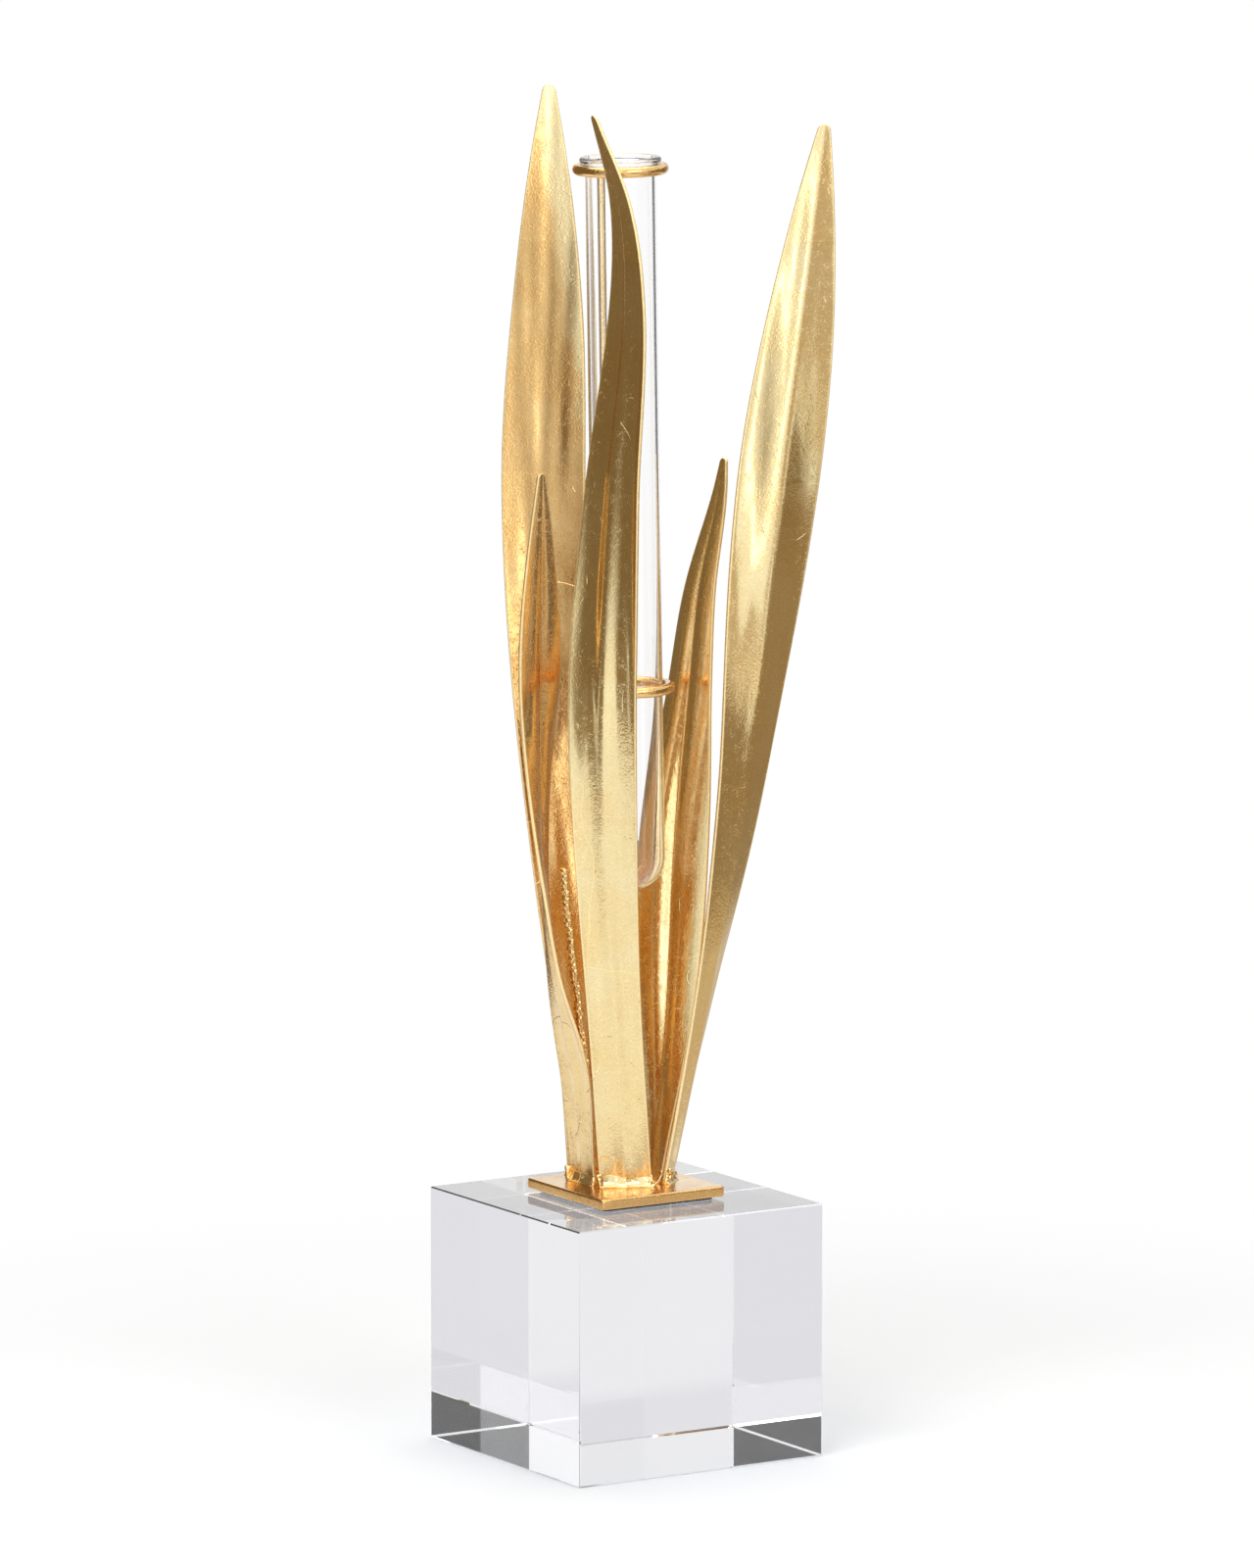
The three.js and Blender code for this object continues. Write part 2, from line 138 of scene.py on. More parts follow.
# Weld of the stem: number and radius of its lumps, their distance from the wire and their height
STEM_LUMPS, STEM_LUMP, STEM_GAP, STEM_RISE = 14, 1.35, 0.7, 0.8

# Seeds of random forms. The height of a ring is added to its weld's seed.
SPATTER_SEED, RIB_SEED, RING_SEED, STEM_SEED = 5, 11, 20, 31
HAMMER_SEED_STEP = 3.7

# Steps of the finer meshes
TIP_ANGLES = range(12, 74, 12)
STEM_STEPS, RING_STEPS, TUBE_STEPS, CARD_STEPS = 120, 96, 128, 80
# Where the stem's wire starts above the plate, in millimetres, and the size of its unevenness, in metres
STEM_START, WIRE_GRAIN = 0.3, 0.006
# Size in metres and depth in millimetres of the wavering of the plate's face
PLATE_WAVER = ((0.007, 0.05), (0.0018, 0.02))

# What shows in the gilding, in metres: size of the clouds of tone and of the dull patches, width and length
# of the wiped streaks, size and depth of the sway of the laps, their width, run of the hair scratches, size
# of the scratched places and width of the rubbed edges. The grain and the lap lines are drawn coarser than
# real ones, because those are too fine to show.
CLOUD, PATCH, WIPE, LAP_SWAY, LAP_WIDTH = 0.024, 0.0035, (0.0016, 0.05), (0.03, 0.012), 0.0003
HAIR, SCRATCHED, RUBBED = 0.034, 0.009, 0.0012
# Depths of the dull patches, the sand, the flecks and the scratches in it, in metres
PATCH_DEPTH, SAND_DEPTH, FLECK_DEPTH, SCRATCH_DEPTH = 0.00005, 0.00012, 0.00004, 0.0001
# Least and most roughness of the gilding
BRIGHT_POLISH, SOFT_POLISH = (0.13, 0.21), (0.16, 0.23)

# Camera that was fitted to the photo, in degrees and metres, with its lens in millimetres. It aims at a place
# to the right of the block's middle and above the floor.
CAMERA = {"lens": 259.2, "sensor": 36, "bearing": -31.955, "rise": 8.82, "distance": 3.937,
          "right": 0.00044, "up": 0.2358}

# Floor: half its side in metres, its drop in millimetres, and where its painted shade for glass and its
# shadow end, in metres
FLOOR_HALF, FLOOR_DROP = 14, 0.2
FOOTPRINT_END, NEAR_END, SHADOW_END = (0.044, 0.046), (0.1, 0.13), (0.14, 0.5)

# Soft boxes, aimed at the middle of the vase: bearing, height angle, distance, width, height and power
MIDDLE = Vector((0, 0, 0.25))
LAMPS = {
    "key": (-28, 42, 1.7, 1, 1, 13),
    "fill": (38, 30, 1.9, 0.9, 0.9, 8.5),
    "top": (180, 78, 1.6, 1.4, 1.4, 12),
    "strip": (-8, 0, 1.8, 0.55, 1.1, 3.2),
}

# Cards round the studio: who sees each, its colour, the bearings where it starts and ends, the distance and
# height of its lower and its upper rail in metres, and the angles over which it fades in and out
CARDS = {
    "left_card": ("metal", "#7E7059", -165, -8, (1.1, 0), (1.1, 1.6), 10, 52),
    "right_card": ("metal", "#877860", 58, 165, (1.09, 0), (1.09, 0.75), 20, 24),
    "tan_card": ("metal", "#C9C0B2", 20, 185, (1.1, 0), (1.1, 0.75), 10, 18),
    "low_card": ("metal", "#988A74", 46, 178, (0.34, 0.1), (0.34, 0.24), 16, 40),
    "foot_card": ("metal", "#CFC6B4", 46, 205, (0.34, 0), (0.34, 0.1), 20, 25),
    "low_left_card": ("metal", "#8E8067", -85, -28, (0.34, 0.13), (0.34, 0.21), 10, 14),
    "left_floor_card": ("metal", "#877860", -165, -60, (0.7, 0.0004), (1.1, 0.0004), 10, 10),
    "right_glass_card": ("turned", "#5A5A5A", 56, 112, (1.1, 0), (1.1, 0.3), 2, 2),
    "tube_glass_card": ("turned", "#3A3A3A", 126, 158, (1.1, 0), (1.1, 0.6), 2, 2),
    "left_glass_card": ("turned", "#464646", -127, -108, (0.7, 0.1), (0.7, 0.2), 1, 1),
    "back_glass_sky": ("glass", "#8C8C8C", 150, 210, (0.3, 0.12), (0.3, 0.168), 2, 2),
    "front_glass_sky": ("glass", "#8C8C8C", -30, 30, (0.3, 0.12), (0.3, 0.168), 2, 2),
    # The glass floor cards are painted shade on the floor beside the block, as glass sees it
    "left_glass_floor": ("glass", "#EFEFF3", -152, -62, (0.1, 0.0002), (1.1, 0.0002), 2, 2),
    "right_glass_floor": ("glass", "#EFEFF3", 40, 122, (0.1, 0.0002), (1.1, 0.0002), 2, 2),
}


def linear(code):
    """Linear RGB of an sRGB hex colour."""
    parts = [int(code[i:i + 2], 16) / 255 for i in (1, 3, 5)]
    return tuple(p / 12.92 if p <= 0.04045 else ((p + 0.055) / 1.055) ** 2.4 for p in parts)


def length(name, description, millimetres):
    """A length property that is given in millimetres and held in metres."""
    return FloatProperty(name=name, description=description, default=millimetres * MM, unit="LENGTH",
                         precision=5)


def number(name, description, value, least=0):
    """A plain number property."""
    return FloatProperty(name=name, description=description, default=value, min=least)


def colour(name, description, code):
    """A colour property that is given as an sRGB hex value and held as linear RGB."""
    return FloatVectorProperty(name=name, description=description, default=linear(code), subtype="COLOR",
                               size=3, min=0, max=1)


class LeafSheet(PropertyGroup):
    """Sizes of the pressed metal leaves."""

    thickness: length("Thickness", "Thickness of the sheet metal", 1.2)
    cut_radius: length("Cut radius", "Rounding of the sheet's cut edges", 0.35)
    hammer_depth: length("Hammer depth", "Depth of the unevenness left by hand forming", 0.22)
    hammer_spacing: length("Hammer spacing", "Distance between the uneven places across the sheet", 10)
    hammer_stretch: number("Hammer stretch", "How much longer the uneven places are than wide", 8, 1)
    dent_width: length("Dent width", "Half the width of a dent", 8)
    dent_length: length("Dent length", "Half the length of a dent", 48)
    rows: IntProperty(name="Rows", description="Rows of faces along each leaf", default=300, min=20)
    columns: IntProperty(name="Columns", description="Faces across each side of a leaf", default=44, min=8)


class GoldLeaf(PropertyGroup):
    """Colours and grain of the gilding."""

    pale: colour("Pale gold", "Freshly laid leaf", "#FADCA2")
    deep: colour("Deep gold", "Thinner or doubled leaf", "#F7D291")
    # Satin golds are deeper and more orange: on the leaves a duller gilding, on the plate and rings also
    # painted reflection of gold in gold
    satin_pale_with_reflection: colour("Satin pale gold", "Freshly laid leaf on a duller ground", "#F0C17F")
    satin_deep_with_reflection: colour("Satin deep gold", "Thinner or doubled leaf on a duller ground", "#E6B16C")
    worn: colour("Worn gold", "Specks where the ground shows through", "#9A6A30")
    square: length("Leaf square", "Side of one square of gold leaf", 84)
    grain: length("Grain", "Size of the grain in the ground", 0.75)


class WeldBead(PropertyGroup):
    """Sizes of the welds."""

    lump: length("Lump radius", "Typical radius of one lump of weld", 0.75)
    height: length("Fillet height", "How far a fillet of weld climbs a leaf", 4.4)
    reach: length("Fillet reach", "How far a fillet of weld runs out on the plate", 2.6)
    voxel: length("Fineness", "Size of the cells that the weld is melted together with", 0.25)


class WireHolder(PropertyGroup):
    """Sizes of the wire stem and rings."""

    wire: length("Wire diameter", "Diameter of the gilded wire", 3.8)
    uneven: length("Unevenness", "How far the wire's surface wanders", 0.05)


class GlassTube(PropertyGroup):
    """Sizes and tint of the glass tube."""

    diameter: length("Diameter", "Outside diameter of the tube", 24.5)
    wall: length("Wall", "Thickness of the glass", 1.2)
    total: length("Length", "Length over all", 257)
    lip: length("Lip diameter", "Outside diameter of the flared lip", 28.5)
    lip_thickness: length("Lip thickness", "Thickness of the flared lip", 2)
    tint: colour("Glass tint", "Colour of light through the glass", "#FFFFFF")


class CrystalBase(PropertyGroup):
    """Plate and block."""

    plate_side: length("Plate side", "Side of the square plate", 51)
    plate_thickness: length("Plate thickness", "Thickness of the plate", 3.7)
    plate_corner: length("Plate corner", "Corner radius of the plate", 2)
    plate_edge: length("Plate edge", "Rounding of the plate's rims", 0.8)
    tint: colour("Crystal tint", "Colour of light through the block", "#EBEBED")


class StudioStage(PropertyGroup):
    """Floor and light."""

    floor: colour("Floor", "Colour of the floor", "#FAFAFA")
    # Footprint and near floor are painted shade that only glass sees, under and beside the block
    footprint: colour("Footprint", "Colour of the shaded floor right under the block", "#EEEEEE")
    near: colour("Near floor", "Colour of the floor beside the block, as the block shows it", "#F3F3F6")
    dome: number("Dome", "Strength of the all-round light", 0.42)
    lamps: number("Lamps", "Share of the usual lamp strength", 1)
    sheen: colour("Sheen", "Colour of the studio in the metal", "#E6F2FF")
    sheen_strength: number("Sheen strength", "Brightness of the studio in the metal", 1.28)


def add_node(tree, kind, *values, output=0, **settings):
    """Adds a node with its settings and links, and returns one of its outputs. A kind can end with its
    operation. Values and links fill the inputs in order, or as a dictionary names or numbers them."""
    kind, *operation = kind.split()
    node = tree.nodes.new(kind)
    if operation:
        node.operation = operation[0]
    for name, value in settings.items():
        setattr(node, name, value)
    filled = {}
    for place, value in enumerate(values):
        filled |= value if isinstance(value, dict) else {place: value}
    for key, value in filled.items():
        if isinstance(value, NodeSocket):
            tree.links.new(value, node.inputs[key])
        else:
            node.inputs[key].default_value = value
    return node.outputs[output] if node.outputs else node


# Kinds of node, and settings of the one that mixes two colours
MULTIPLY, MULTIPLY_ADD = "ShaderNodeMath MULTIPLY", "ShaderNodeMath MULTIPLY_ADD"
SUBTRACT, DIVIDE = "ShaderNodeMath SUBTRACT", "ShaderNodeMath DIVIDE"
POWER, SQRT, ABSOLUTE = "ShaderNodeMath POWER", "ShaderNodeMath SQRT", "ShaderNodeMath ABSOLUTE"
MINIMUM, MAXIMUM = "ShaderNodeMath MINIMUM", "ShaderNodeMath MAXIMUM"
VECTOR = "ShaderNodeVectorMath "
JOIN_XYZ, SPLIT_XYZ = "ShaderNodeCombineXYZ", "ShaderNodeSeparateXYZ"
MIX, RANGE, NOISE = "ShaderNodeMix", "ShaderNodeMapRange", "ShaderNodeTexNoise"
BUMP, ATTRIBUTE, COORDINATES = "ShaderNodeBump", "ShaderNodeAttribute", "ShaderNodeTexCoord"
SHADER, SURFACE = "ShaderNodeBsdfPrincipled", "ShaderNodeOutputMaterial"
OBJECT, SAMPLE, MOVE = "GeometryNodeObjectInfo", "GeometryNodeSampleIndex", "GeometryNodeSetPosition"
NAMED, RANDOM = "GeometryNodeInputNamedAttribute", "FunctionNodeRandomValue"
RGBA = {"data_type": "RGBA", "output": 2}


def empty_material(name):
    """A material with its nodes cleared, and the function that adds nodes to it."""
    material = bpy.data.materials.new(name)
    material.use_nodes = True
    material.node_tree.nodes.clear()
    return material, partial(add_node, material.node_tree)


def gold_leaf(name, on_sheet, satin=False, soft=False):
    """Metal leaf laid by hand over a lightly sanded ground: a soft metallic gloss, a sandy sparkle from the
    grain, squares of leaf that differ a little in tone with faint lap lines, fine scratches, specks where the
    ground shows and rubbed, duller cut edges."""
    gold = bpy.context.scene.vase_gold
    pale, deep = (gold.satin_pale_with_reflection, gold.satin_deep_with_reflection) if satin else (gold.pale, gold.deep)
    polish = SOFT_POLISH if satin or soft else BRIGHT_POLISH
    material, add = empty_material(name)
    place = add(COORDINATES, output="Object")
    clouds = add(NOISE, {"Vector": place, "Scale": 1 / CLOUD, "Detail": 4, "Roughness": 0.6})
    clouds = add(RANGE, clouds, 0.36, 0.66)
    tone = add(MIX, {0: clouds, 6: (*pale, 1), 7: (*deep, 1)}, **RGBA)
    fine = add(NOISE, {"Vector": place, "Scale": 1 / gold.grain, "Detail": 2, "Roughness": 0.5})
    middle = add(NOISE, {"Vector": place, "Scale": 1 / PATCH, "Detail": 3, "Roughness": 0.6})
    sparkle = add(RANGE, fine, 0.3, 0.7, 0.92, 1.06)
    patch = add(RANGE, middle, 0.45, 0.7)
    speck = add(MULTIPLY, add(RANGE, fine, 0.66, 0.76), patch)
    fleck = add(MULTIPLY, add(RANGE, fine, 0.56, 0.68), patch)
    rough = add(RANGE, middle, 0.3, 0.7, *polish)
    rough = add(MULTIPLY_ADD, fleck, 0.3 if satin else 0.18, rough)
    if on_sheet:
        # Painted highlight: paler gold where the leaf tree marks it, at the top of one satin leaf and the
        # foot of another
        fresh = add(ATTRIBUTE, attribute_name="fresh", output="Fac")
        tone = add(MIX, {0: fresh, 6: tone, 7: (*gold.pale, 1)}, **RGBA)
        sheet = add(ATTRIBUTE, attribute_name="on_sheet", output="Vector")
        wiped = add(VECTOR + "MULTIPLY", sheet, (1 / WIPE[0], 1 / WIPE[1], 0))
        wiped = add(NOISE, {"Vector": wiped, "Scale": 1, "Detail": 2})
        streak = add(RANGE, wiped, 0.3, 0.7, 0.98, 1.015)
        tone = add(VECTOR + "SCALE", tone, {"Scale": streak})
        sway = add(NOISE, {"Vector": place, "Scale": 1 / LAP_SWAY[0], "Detail": 2}, output=1)
        sway = add(VECTOR + "MULTIPLY", sway, (LAP_SWAY[1], LAP_SWAY[1], 0))
        laid = add(VECTOR + "ADD", sheet, sway)
        squares = add("ShaderNodeTexBrick", {
            "Vector": laid, "Color1": (0.95, 0.945, 0.93, 1), "Color2": (1.02, 1.02, 1.01, 1),
            "Mortar": (1.06, 1.05, 1.02, 1), "Scale": 1, "Mortar Size": LAP_WIDTH, "Mortar Smooth": 0.3,
            "Bias": 0.1, "Brick Width": 100 * gold.square, "Row Height": gold.square}, offset=0.37)
        tone = add(MIX, {0: 1.0, 6: tone, 7: squares}, blend_type="MULTIPLY", **RGBA)
        edge = add(RANGE, add(SPLIT_XYZ, sheet, output=2), 0.25, 0.7)
        tone = add(MIX, {0: edge, 6: tone, 7: (*gold.pale, 1)}, **RGBA)
        rough = add(MULTIPLY_ADD, edge, 0.35, rough)
    tone = add(VECTOR + "SCALE", tone, {"Scale": sparkle})
    tone = add(MIX, {0: speck, 6: tone, 7: (*gold.worn, 1)}, **RGBA)
    hair = add(NOISE, {"Vector": place, "Scale": 1 / HAIR, "Detail": 1, "Roughness": 0.3})
    hair = add(ABSOLUTE, add(SUBTRACT, hair, 0.5))
    scored = add(NOISE, {"Vector": place, "Scale": 1 / SCRATCHED, "Detail": 1})
    scored = add(RANGE, scored, 0.55, 0.62)
    scratch = add(RANGE, hair, 0.003, 0, 0, scored)
    sandy = add(MULTIPLY, fine, clouds)
    relief = add(BUMP, {"Height": middle, "Strength": 1, "Distance": PATCH_DEPTH})
    for height, depth in ((sandy, SAND_DEPTH), (fleck, FLECK_DEPTH), (scratch, SCRATCH_DEPTH)):
        relief = add(BUMP, {"Height": height, "Strength": 1, "Distance": depth, "Normal": relief})
    add(SURFACE, add(SHADER, {
        "Base Color": tone, "Roughness": rough, "Metallic": 1, "Normal": relief}))
    return material


def clear_glass(name, tint, index, wave, depth):
    """Clear glass with a fire-polished or ground and polished face: sharp reflections that waver slightly."""
    material, add = empty_material(name)
    place = add(COORDINATES, output="Object")
    waver = add(NOISE, {"Vector": place, "Scale": 1 / wave, "Detail": 1})
    waver = add(BUMP, {"Height": waver, "Strength": 1, "Distance": depth})
    add(SURFACE, add(SHADER, {
        "Base Color": (*tint, 1), "Roughness": 0, "IOR": index, "Transmission Weight": 1, "Normal": waver}))
    return material


def bunch_frame():
    """Turn and lift from the bunch of leaves to the part's frame."""
    return Matrix.Translation((0, 0, PLATE_TOP * MM)) @ Matrix.Rotation(radians(BUNCH_TURN), 4, "Z")


def holder_frame():
    """Place and lean of the wire holder, with its origin at the stem's foot."""
    foot = Matrix.Translation((STEM_PLACE.x * MM, STEM_PLACE.y * MM, 0))
    return bunch_frame() @ foot @ Matrix.Rotation(radians(-HOLDER_LEAN), 4, "Y")


def bearing(degrees):
    """Unit vector that looks to the front at 0 and to the right at 90."""
    return Vector((sin(radians(degrees)), -cos(radians(degrees))))


def circle(steps):
    """Angles of steps once round a circle."""
    return [tau * i / steps for i in range(steps)]


def smooth_value(heights, values, z):
    """Cubic through the stations, without curvature at either end."""
    last = len(heights) - 1
    at = min(max(i for i in range(last + 1) if heights[i] <= z or i == 0), last - 1)
    t0, t1, v0, v1 = heights[at], heights[at + 1], values[at], values[at + 1]
    before, v_before = (heights[at - 1], values[at - 1]) if at > 0 else (t1, v1)
    after, v_after = (heights[at + 2], values[at + 2]) if at + 2 <= last else (t0, v0)
    half = (t1 - t0) / 2
    w0, w1, p = half / (t0 - before), half / (after - t1), (z - t0) / (t1 - t0)
    s0 = -w0 * p ** 3 + 2 * w0 * p ** 2 - w0 * p
    s1 = (1 + w0) * p ** 3 + (-1.5 - 2 * w0) * p ** 2 + (-0.5 + w0) * p + 1
    s2 = (-1 - w1) * p ** 3 + (1.5 + w1) * p ** 2 + 0.5 * p
    s3 = w1 * p ** 3 - w1 * p ** 2
    return s0 * v_before + s1 * v0 + s2 * v1 + s3 * v_after


class LeafRun:
    """Middle line and facing of one leaf with height, in the bunch's frame and millimetres."""

    def __init__(self, name):
        self.cut, self.form, self.height, foot, self.weld_side, self.dents, stations = LEAVES[name]
        self.heights = [0] + [s[0] * self.height for s in stations]
        places = [TUBE_MIDDLE + bearing(s[1]) * (RING_OUTSIDE + s[2]) for s in stations]
        self.columns = [
            [foot[0]] + [p.x for p in places],
            [foot[1]] + [p.y for p in places],
            [foot[2]] + [s[3] for s in stations],
        ]

    def at(self, z):
        """Place and facing at a height."""
        return [smooth_value(self.heights, column, z) for column in self.columns]

    def half_width(self, z):
        """Half the width at a height, up to the widest place."""
        cut = self.cut
        full = cut["Full share"] * self.height
        start = cut["Swell share"] * self.height
        share = min(max((z - start) / (full - start), 0), 1)
        swell = share * share * (3 - 2 * share)
        return (cut["Foot width"] + (cut["Full width"] - cut["Foot width"]) * swell) / 2

    def face_point(self, across, z, stand_off):
        """Point on the outer face below the widest place, in the part's frame and metres."""
        x, y, facing = self.at(z)
        half = self.half_width(z)
        side, flute = abs(across), self.form["Flute place"]
        if side < flute:
            rise = self.form["Fold rise"] * (1 - side / flute) ** self.form["Bow"]
        else:
            rise = self.form["Edge rise"] * ((side - flute) / (1 - flute)) ** 2
        rise = rise * (half / (self.cut["Full width"] / 2)) ** 2 + stand_off
        outward = bearing(facing)
        plan = Vector((x, y)) + Vector((-outward.y, outward.x)) * across * half + outward * rise
        return bunch_frame() @ Vector((plan.x * MM, plan.y * MM, z * MM))


def path_object(points, closed=False, **attributes):
    """A helper: points joined by edges, with a number for each point under each attribute's name."""
    mesh = bpy.data.meshes.new("path")
    edges = [(i, i + 1) for i in range(len(points) - 1)]
    if closed:
        edges.append((len(points) - 1, 0))
    mesh.from_pydata([tuple(p) for p in points], edges, [])
    for name, values in attributes.items():
        mesh.attributes.new(name, "FLOAT", "POINT").data.foreach_set("value", values)
    helper = bpy.data.objects.new("path", mesh)
    bpy.context.scene.collection.objects.link(helper)
    return helper


def new_tree(name, inputs):
    """A geometry tree with one geometry output and with named inputs, listed by kind, the function that adds
    nodes to it, and those inputs."""
    tree = bpy.data.node_groups.new(name, "GeometryNodeTree")
    for kind, labels in inputs.items():
        for label in labels:
            tree.interface.new_socket(name=label, in_out="INPUT", socket_type="NodeSocket" + kind)
    tree.interface.new_socket(name="Geometry", in_out="OUTPUT", socket_type="NodeSocketGeometry")
    add = partial(add_node, tree)
    return tree, add, add("NodeGroupInput").node.outputs


def end_tree(tree, shape, material):
    """Ends a tree with real geometry, smooth faces and its material."""
    add = partial(add_node, tree)
    real = add("GeometryNodeRealizeInstances", shape)
    smooth = add("GeometryNodeSetShadeSmooth", real)
    done = add("GeometryNodeSetMaterial", {"Geometry": smooth, "Material": material})
    add("NodeGroupOutput", done)
    return tree


def leaf_tree():
    """Leaf blade: a profile of the sheet is swept up a path in level sections, and its width, middle fold,
    flutes and edges follow the height."""
    tree, add, given = new_tree("Leaf blade", {
        "Object": ("Path", "Profile"), "Int": ("Rows", "Columns"), "Vector": ("Dent size", *DENTS),
        "Float": ("Height", *CUT, *FORM, "Cut radius", "Hammer depth", "Hammer spacing", "Hammer stretch",
                  "Hammer seed", "Pale above", "Pale below"),
        "Material": ("Material",)})
    path = add(OBJECT, given["Path"], output="Geometry")
    profile = add(OBJECT, given["Profile"], output="Geometry")
    index = add("GeometryNodeInputIndex")
    position = add("GeometryNodeInputPosition")
    row = add("FunctionNodeIntegerMath MODULO", index, given["Rows"])
    column = add("FunctionNodeIntegerMath DIVIDE_FLOOR", index, given["Rows"])
    facing, height = [add(NAMED, {"Name": name}) for name in ("facing", "height")]
    facing, height, spot, across = [
        add(SAMPLE, {"Geometry": source, "Value": value, "Index": at}, data_type=kind)
        for source, value, at, kind in (
            (path, facing, row, "FLOAT"), (path, height, row, "FLOAT"),
            (path, position, row, "FLOAT_VECTOR"), (profile, position, column, "FLOAT_VECTOR"))]
    share, past_edge, stand_off = add(SPLIT_XYZ, across).node.outputs

    # Half width: a swell from the foot, a taper to the shoulder and a round tip
    tip = given["Tip radius"]
    widest = add(MULTIPLY, given["Height"], given["Full share"])
    start = add(MULTIPLY, given["Height"], given["Swell share"])
    foot_half = add(MULTIPLY, given["Foot width"], 0.5)
    full_half = add(MULTIPLY, given["Full width"], 0.5)
    swell = add(RANGE, height, start, widest, foot_half, full_half, interpolation_type="SMOOTHSTEP")
    shoulder = add(SUBTRACT, given["Height"], tip)
    taper = add(POWER, add(RANGE, height, widest, shoulder), 2)
    narrow = add(RANGE, taper, 0, 1, full_half, tip)
    half = add(MINIMUM, swell, narrow)
    into_tip = add(MAXIMUM, add(SUBTRACT, height, shoulder), 0)
    depth = add(MULTIPLY, into_tip, into_tip)
    reach = add(MULTIPLY, tip, tip)
    round_tip = add(SQRT, add(SUBTRACT, reach, depth))
    half = add(SUBTRACT, half, add(SUBTRACT, tip, round_tip))

    # Rise of the sheet: a rounded fold in the middle, a flute on either side and lifted edges
    side = add(ABSOLUTE, share)
    soft = add(SQRT, add(MULTIPLY_ADD, side, side, add(POWER, given["Crest"], 2)))
    fold = add(RANGE, soft, given["Crest"], given["Flute place"], 1, 0)
    fold = add(MULTIPLY, add(POWER, fold, given["Bow"]), given["Fold rise"])
    lift = add(POWER, add(RANGE, side, given["Flute place"], 1, 0, 1), 2)
    rise = add(MULTIPLY_ADD, lift, given["Edge rise"], fold)
    scale = add(DIVIDE, half, full_half)
    scale = add(MULTIPLY, scale, scale)
    rise = add(MULTIPLY_ADD, rise, scale, stand_off)

    # Level sections: sideways along the sheet, then outwards with the unevenness and dents of hand forming
    sine = add("ShaderNodeMath SINE", facing)
    cosine = add("ShaderNodeMath COSINE", facing)
    outward = add(JOIN_XYZ, sine, add(MULTIPLY, cosine, -1))
    sideways = add(JOIN_XYZ, cosine, sine)
    flat_half = add(SUBTRACT, half, given["Cut radius"])
    aside = add(MULTIPLY_ADD, share, flat_half, past_edge)
    shift = add(VECTOR + "SCALE", sideways, {"Scale": aside})
    plan = add(VECTOR + "ADD", spot, shift)
    fineness = add(DIVIDE, 1, given["Hammer spacing"])
    along = add(DIVIDE, height, given["Hammer stretch"])
    streak = add(JOIN_XYZ, aside, along)
    uneven = add(NOISE, {"Vector": streak, "W": given["Hammer seed"], "Scale": fineness, "Detail": 1},
                 noise_dimensions="4D")
    uneven = add(RANGE, uneven, 0.25, 0.75, -1, 1)
    uneven = add(MULTIPLY, uneven, given["Uneven"])
    rise = add(MULTIPLY_ADD, uneven, given["Hammer depth"], rise)
    level = add(JOIN_XYZ, aside, height)
    for dent in DENTS:
        deep = add(SPLIT_XYZ, given[dent], output=2)
        away = add(VECTOR + "SUBTRACT", level, given[dent])
        away = add(VECTOR + "MULTIPLY", away, given["Dent size"])
        away = add(VECTOR + "DOT_PRODUCT", away, away, output="Value")
        fall = add(RANGE, away, 0, 1, 1, 0)
        fall = add(MULTIPLY, add(MULTIPLY, fall, fall), deep)
        rise = add(SUBTRACT, rise, fall)
    stand = add(VECTOR + "SCALE", outward, {"Scale": rise})
    point = add(VECTOR + "ADD", plan, stand)

    # What the gilding reads: place across and up the sheet, nearness to the cut edge and where its highlight
    # is painted in paler gold
    from_edge = add(SUBTRACT, half, add(ABSOLUTE, aside))
    edge = add(RANGE, from_edge, RUBBED, 0, 0, 1)
    sheet = add(JOIN_XYZ, aside, height, edge)
    ragged = add(NOISE, {"Vector": level, "Scale": 1 / PALE_GRAIN, "Detail": 3})
    ragged = add(MULTIPLY_ADD, ragged, PALE_RAG, height)
    above = add(MULTIPLY_ADD, aside, PALE_LEAN, ragged)
    above = add(RANGE, add(SUBTRACT, above, given["Pale above"]), *PALE_BORDER)
    below = add(SUBTRACT, ragged, given["Pale below"])
    below = add(RANGE, below, *PALE_BORDER, PALE_FOOT, 0)
    fresh = add(MAXIMUM, above, below)
    blade = add("GeometryNodeMeshGrid", 1, 1, given["Columns"], given["Rows"])
    for name, value, kind in (("on_sheet", sheet, "FLOAT_VECTOR"), ("fresh", fresh, "FLOAT")):
        noted = {"Geometry": blade, "Name": name, "Value": value}
        blade = add("GeometryNodeStoreNamedAttribute", noted, data_type=kind, domain="POINT")
    blade = add(MOVE, {"Geometry": blade, "Position": point})
    blade = add("GeometryNodeMergeByDistance", {"Geometry": blade, "Distance": 1e-6})
    return end_tree(tree, blade, given["Material"])


